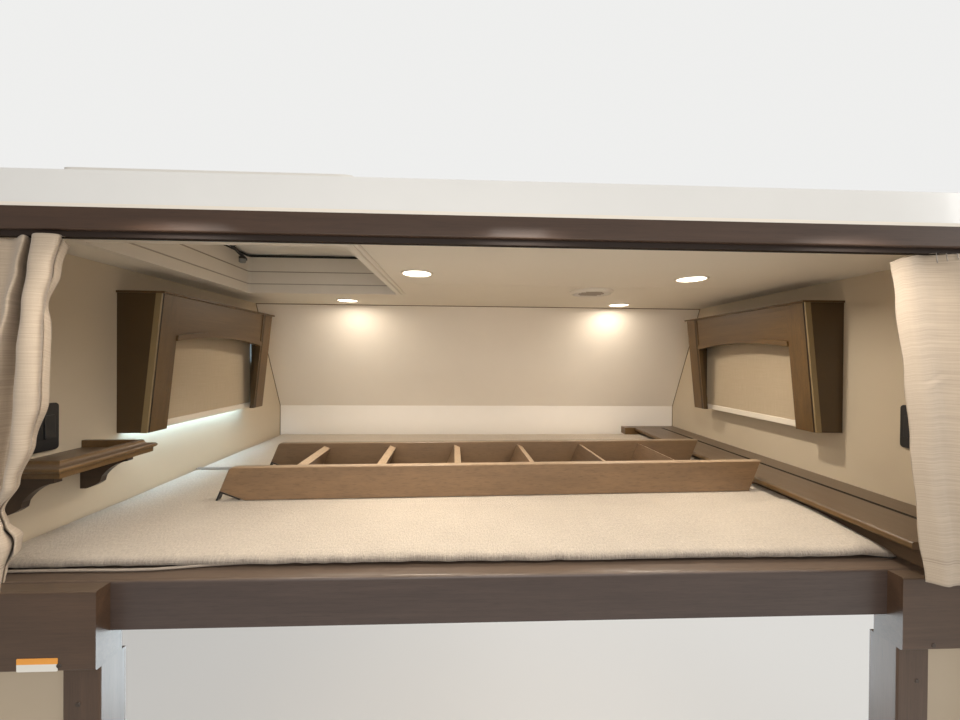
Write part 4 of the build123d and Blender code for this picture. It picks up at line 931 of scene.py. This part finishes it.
heading = track_low - 0.0012
left_hang = FoldedCloth(
    side=-1,
    width=0.48,
    top=[(0.0, heading - 0.012), (0.035, heading - 0.005), (0.10, heading), (1.0, heading)],
    foot=[(0.0, 0.162), (0.3, 0.150), (1.0, 0.156)],
    ripple=0.0008,
    lines=[
        # hem, seen edge on where the curtain is tucked in
        (0.00, [(0.15, 0.987, 0.004), (0.19, 0.980, 0.004), (0.222, 0.955, 0.004), (0.25, 0.952, 0.004),
                (0.272, 0.979, 0.004), (0.295, 0.987, 0.004), (0.35, 0.958, 0.004), (0.43, 0.928, 0.004),
                (0.51, 0.904, 0.004), (0.655, 0.900, 0.004), (0.692, 0.906, 0.004), (0.76, 0.882, 0.004),
                (0.832, 0.862, 0.004)]),
        # crest of the narrow fold at the hem
        (0.04, [(0.15, 0.973, -0.010), (0.19, 0.968, -0.010), (0.222, 0.944, -0.016), (0.25, 0.942, -0.016),
                (0.272, 0.967, -0.010), (0.295, 0.982, -0.004), (0.35, 0.952, -0.008), (0.43, 0.925, -0.006),
                (0.51, 0.907, -0.006), (0.655, 0.903, -0.006), (0.692, 0.904, -0.006), (0.76, 0.884, -0.006),
                (0.832, 0.866, -0.008)]),
        # valley behind the front fold
        (0.14, [(0.15, 1.014, 0.012), (0.237, 0.976, 0.012), (0.27, 1.002, 0.008), (0.295, 1.002, 0.004),
                (0.35, 0.982, 0.018), (0.43, 0.954, 0.021), (0.51, 0.938, 0.022), (0.655, 0.934, 0.022),
                (0.692, 0.929, 0.020), (0.76, 0.916, 0.020), (0.832, 0.901, 0.018)]),
        # near edge and far edge of the wide front fold
        (0.26, [(0.15, 0.963, -0.024), (0.19, 0.959, -0.024), (0.237, 0.948, -0.024), (0.27, 0.962, -0.020),
                (0.295, 0.984, -0.008), (0.35, 0.936, -0.024), (0.43, 0.911, -0.024), (0.51, 0.896, -0.024),
                (0.655, 0.892, -0.024), (0.692, 0.887, -0.024), (0.76, 0.873, -0.024),
                (0.832, 0.857, -0.022)]),
        (0.35, [(0.15, 0.979, -0.032), (0.237, 0.971, -0.032), (0.27, 0.978, -0.026), (0.295, 0.994, -0.012),
                (0.35, 0.947, -0.031), (0.43, 0.932, -0.032), (0.51, 0.927, -0.032), (0.60, 0.921, -0.032),
                (0.692, 0.913, -0.032), (0.76, 0.904, -0.030), (0.832, 0.898, -0.026)]),
        # folds behind it, narrow and deep
        (0.49, [(0.15, 1.036, 0.022), (0.237, 1.028, 0.022), (0.295, 1.022, 0.006), (0.35, 1.006, 0.022),
                (0.51, 0.990, 0.024), (0.60, 0.984, 0.024), (0.692, 0.974, 0.024), (0.76, 0.962, 0.022),
                (0.832, 0.950, 0.020)]),
        (0.57, [(0.15, 1.030, -0.018), (0.237, 1.020, -0.018), (0.295, 1.022, -0.006), (0.35, 1.010, -0.018),
                (0.51, 0.994, -0.018), (0.60, 0.976, -0.018), (0.692, 0.957, -0.018), (0.76, 0.940, -0.018),
                (0.832, 0.928, -0.016)]),
        (0.67, [(0.15, 1.062, 0.014), (0.295, 1.046, 0.008), (0.51, 1.040, 0.014), (0.655, 1.012, 0.014),
                (0.832, 0.985, 0.012)]),
        (0.75, [(0.15, 1.080, -0.018), (0.295, 1.064, -0.010), (0.51, 1.068, -0.018), (0.655, 1.046, -0.018),
                (0.832, 1.022, -0.014)]),
        (0.84, [(0.15, 1.110, 0.014), (0.295, 1.090, 0.010), (0.51, 1.104, 0.014), (0.655, 1.090, 0.014),
                (0.832, 1.072, 0.012)]),
        (0.92, [(0.15, 1.140, -0.014), (0.295, 1.120, -0.010), (0.51, 1.142, -0.014), (0.655, 1.134, -0.014),
                (0.832, 1.124, -0.012)]),
        (1.00, [(0.15, 1.180, 0.0), (0.295, 1.158, 0.0), (0.51, 1.184, 0.0), (0.832, 1.190, 0.0)]),
    ],
)
right_hang = FoldedCloth(
    side=1,
    width=0.42,
    top=[(0.0, 0.8075), (0.05, 0.8155), (0.16, heading), (1.0, heading)],
    foot=[(0.0, 0.1285), (0.12, 0.1220), (0.35, 0.1145), (1.0, 0.1140)],
    ripple=0.0011,
    creases=[(0.893, 0.556, 0.024, 0.35, 0.0045), (0.876, 0.672, 0.012, 0.1, 0.002),
             (0.905, 0.640, 0.020, -0.1, 0.0015)],
    lines=[
        (0.00, [(0.11, 0.887, -0.002), (0.26, 0.867, 0.0), (0.43, 0.851, 0.002), (0.56, 0.836, 0.002),
                (0.73, 0.816, 0.004), (0.83, 0.804, 0.006)]),
        (0.07, [(0.11, 0.914, -0.012), (0.43, 0.876, -0.010), (0.83, 0.832, -0.004)]),
        (0.22, [(0.11, 0.968, -0.002), (0.43, 0.936, -0.004), (0.70, 0.900, -0.006), (0.83, 0.884, 0.004)]),
        (0.38, [(0.11, 1.020, -0.018), (0.43, 0.994, -0.020), (0.83, 0.946, -0.014)]),
        (0.54, [(0.11, 1.066, 0.006), (0.43, 1.050, 0.006), (0.83, 1.010, 0.010)]),
        (0.70, [(0.11, 1.110, -0.020), (0.43, 1.100, -0.020), (0.83, 1.076, -0.016)]),
        (0.86, [(0.11, 1.150, 0.008), (0.43, 1.148, 0.008), (0.83, 1.138, 0.010)]),
        (1.00, [(0.11, 1.190, -0.004), (0.83, 1.190, 0.0)]),
    ],
)
for side_name, hang in (("left", left_hang), ("right", right_hang)):
    bm = cloth_grid(150, 110, hang)
    cloth = new_piece(f"curtain_cloth_{side_name}", bm, linen, "loft")
    smooth(cloth.data)
    thicken(cloth, 0.0016)
    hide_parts(f"curtain_{side_name}")

# Curtain hooks: bent steel wire from the track's runners into the heading, seen where the heading
# sags between the first few.
for side, places in ((-1, (0.866, 0.882)), (1, (0.880, 0.902, 0.926))):
    for index, x in enumerate(places):
        drop = 0.020 - 0.004 * index
        foot = track_low - drop
        hook = [(side * x, track_mid_y - 0.004, track_low + 0.0005),
                (side * x, track_mid_y - 0.0165, track_low - 0.002),
                (side * (x + 0.001), track_mid_y - 0.0175, foot),
                (side * (x + 0.003), track_mid_y - 0.0165, foot - 0.002)]
        tube(f"curtain_hook_{'left' if side < 0 else 'right'}_{index + 1}", hook, 0.0009, plated, "loft")

# Wall plates: each black plate carries two satin rocker switches with blank faces, pressed
# into it from the front.
rocker_shift = 0.0145
rocker_size = (0.005, 0.026, 0.062)
for side_name, side in (("left", -1), ("right", 1)):
    low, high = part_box(f"wall_plate_{side_name}")
    face_x = high[0] if side < 0 else low[0]
    middle_y, middle_z = (low[1] + high[1]) / 2, (low[2] + high[2]) / 2
    bm = bmesh.new()
    for shift in (-rocker_shift, rocker_shift):
        rocker = bmesh.ops.create_cube(bm, size=1.0)["verts"]
        bmesh.ops.scale(bm, vec=rocker_size, verts=rocker)
        bmesh.ops.rotate(bm, matrix=Matrix.Rotation(side * math.radians(2.2 if shift > 0 else -2.2), 3, "Y"),
                         verts=rocker)
        bmesh.ops.translate(bm, vec=(face_x - side * 0.0005, middle_y + shift, middle_z), verts=rocker)
    bmesh.ops.bevel(bm, geom=list(bm.edges), offset=0.0014, segments=2, profile=0.5, affect="EDGES",
                    material=-1)
    new_piece(f"rocker_switches_{side_name}", bm, satin_black, "loft")

# Fixings seen from the living area: turned screw caps in the blocks and posts, and one small
# blank plate, white with a plain orange band, stuck on the left block.
cap_brown = mottled("screw cap", (0.055, 0.036, 0.026), (0.045, 0.03, 0.02), 0.35, grit=700.0, bump=0.05)
block_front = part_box("corner_block_left")[0][1]
post_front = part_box("post_left")[0][1]
cap_radius = 0.0055
bm = bmesh.new()
cap_places = ((-0.932, block_front, -0.047), (-0.903, post_front, -0.137), (0.974, block_front, -0.049),
              (0.947, post_front, -0.137))
for x, y, z in cap_places:
    turn = Matrix.Rotation(math.pi / 2, 4, "X")
    bmesh.ops.create_cone(bm, cap_ends=True, segments=20, radius1=cap_radius, radius2=cap_radius * 0.8,
                          depth=0.0016, matrix=Matrix.Translation((x, y - 0.0006, z)) @ turn)
new_piece("screw_caps", bm, cap_brown, "loft")
plate_x = (-1.016, -0.9345)
plate_z = (-0.0585, -0.031)
plate_white = surface("plate", (0.80, 0.78, 0.72), 0.35)
tree = plate_white.node_tree
place = add(tree, "ShaderNodeTexCoord")
parts = add(tree, "ShaderNodeSeparateXYZ", {0: place.outputs["Object"]})
band = maths(tree, "GREATER_THAN", parts.outputs["Z"], plate_z[0] + 0.55 * (plate_z[1] - plate_z[0]))
scuff = clouds(tree, place.outputs["Object"], 90.0)
wear_and_highlight = ranged(tree, scuff, target=(0.28, 0.45))
banded = tones(tree, band, (0.80, 0.78, 0.72, 1), (0.85, 0.36, 0.06, 1))
feed(plate_white, Base_Color=banded.outputs[2], Roughness=wear_and_highlight)
bm = bmesh.new()
bmesh.ops.create_cube(bm, size=1.0)
bmesh.ops.scale(bm, vec=(plate_x[1] - plate_x[0], 0.0006, plate_z[1] - plate_z[0]), verts=bm.verts)
upright = [edge for edge in bm.edges if abs(edge.verts[0].co.y - edge.verts[1].co.y) > 0.0003]
bmesh.ops.bevel(bm, geom=upright, offset=0.002, segments=3, profile=0.5, affect="EDGES", material=-1)
bmesh.ops.translate(bm, vec=(sum(plate_x) / 2, block_front - 0.0003, sum(plate_z) / 2), verts=bm.verts)
new_piece("block_plate", bm, plate_white, "loft")
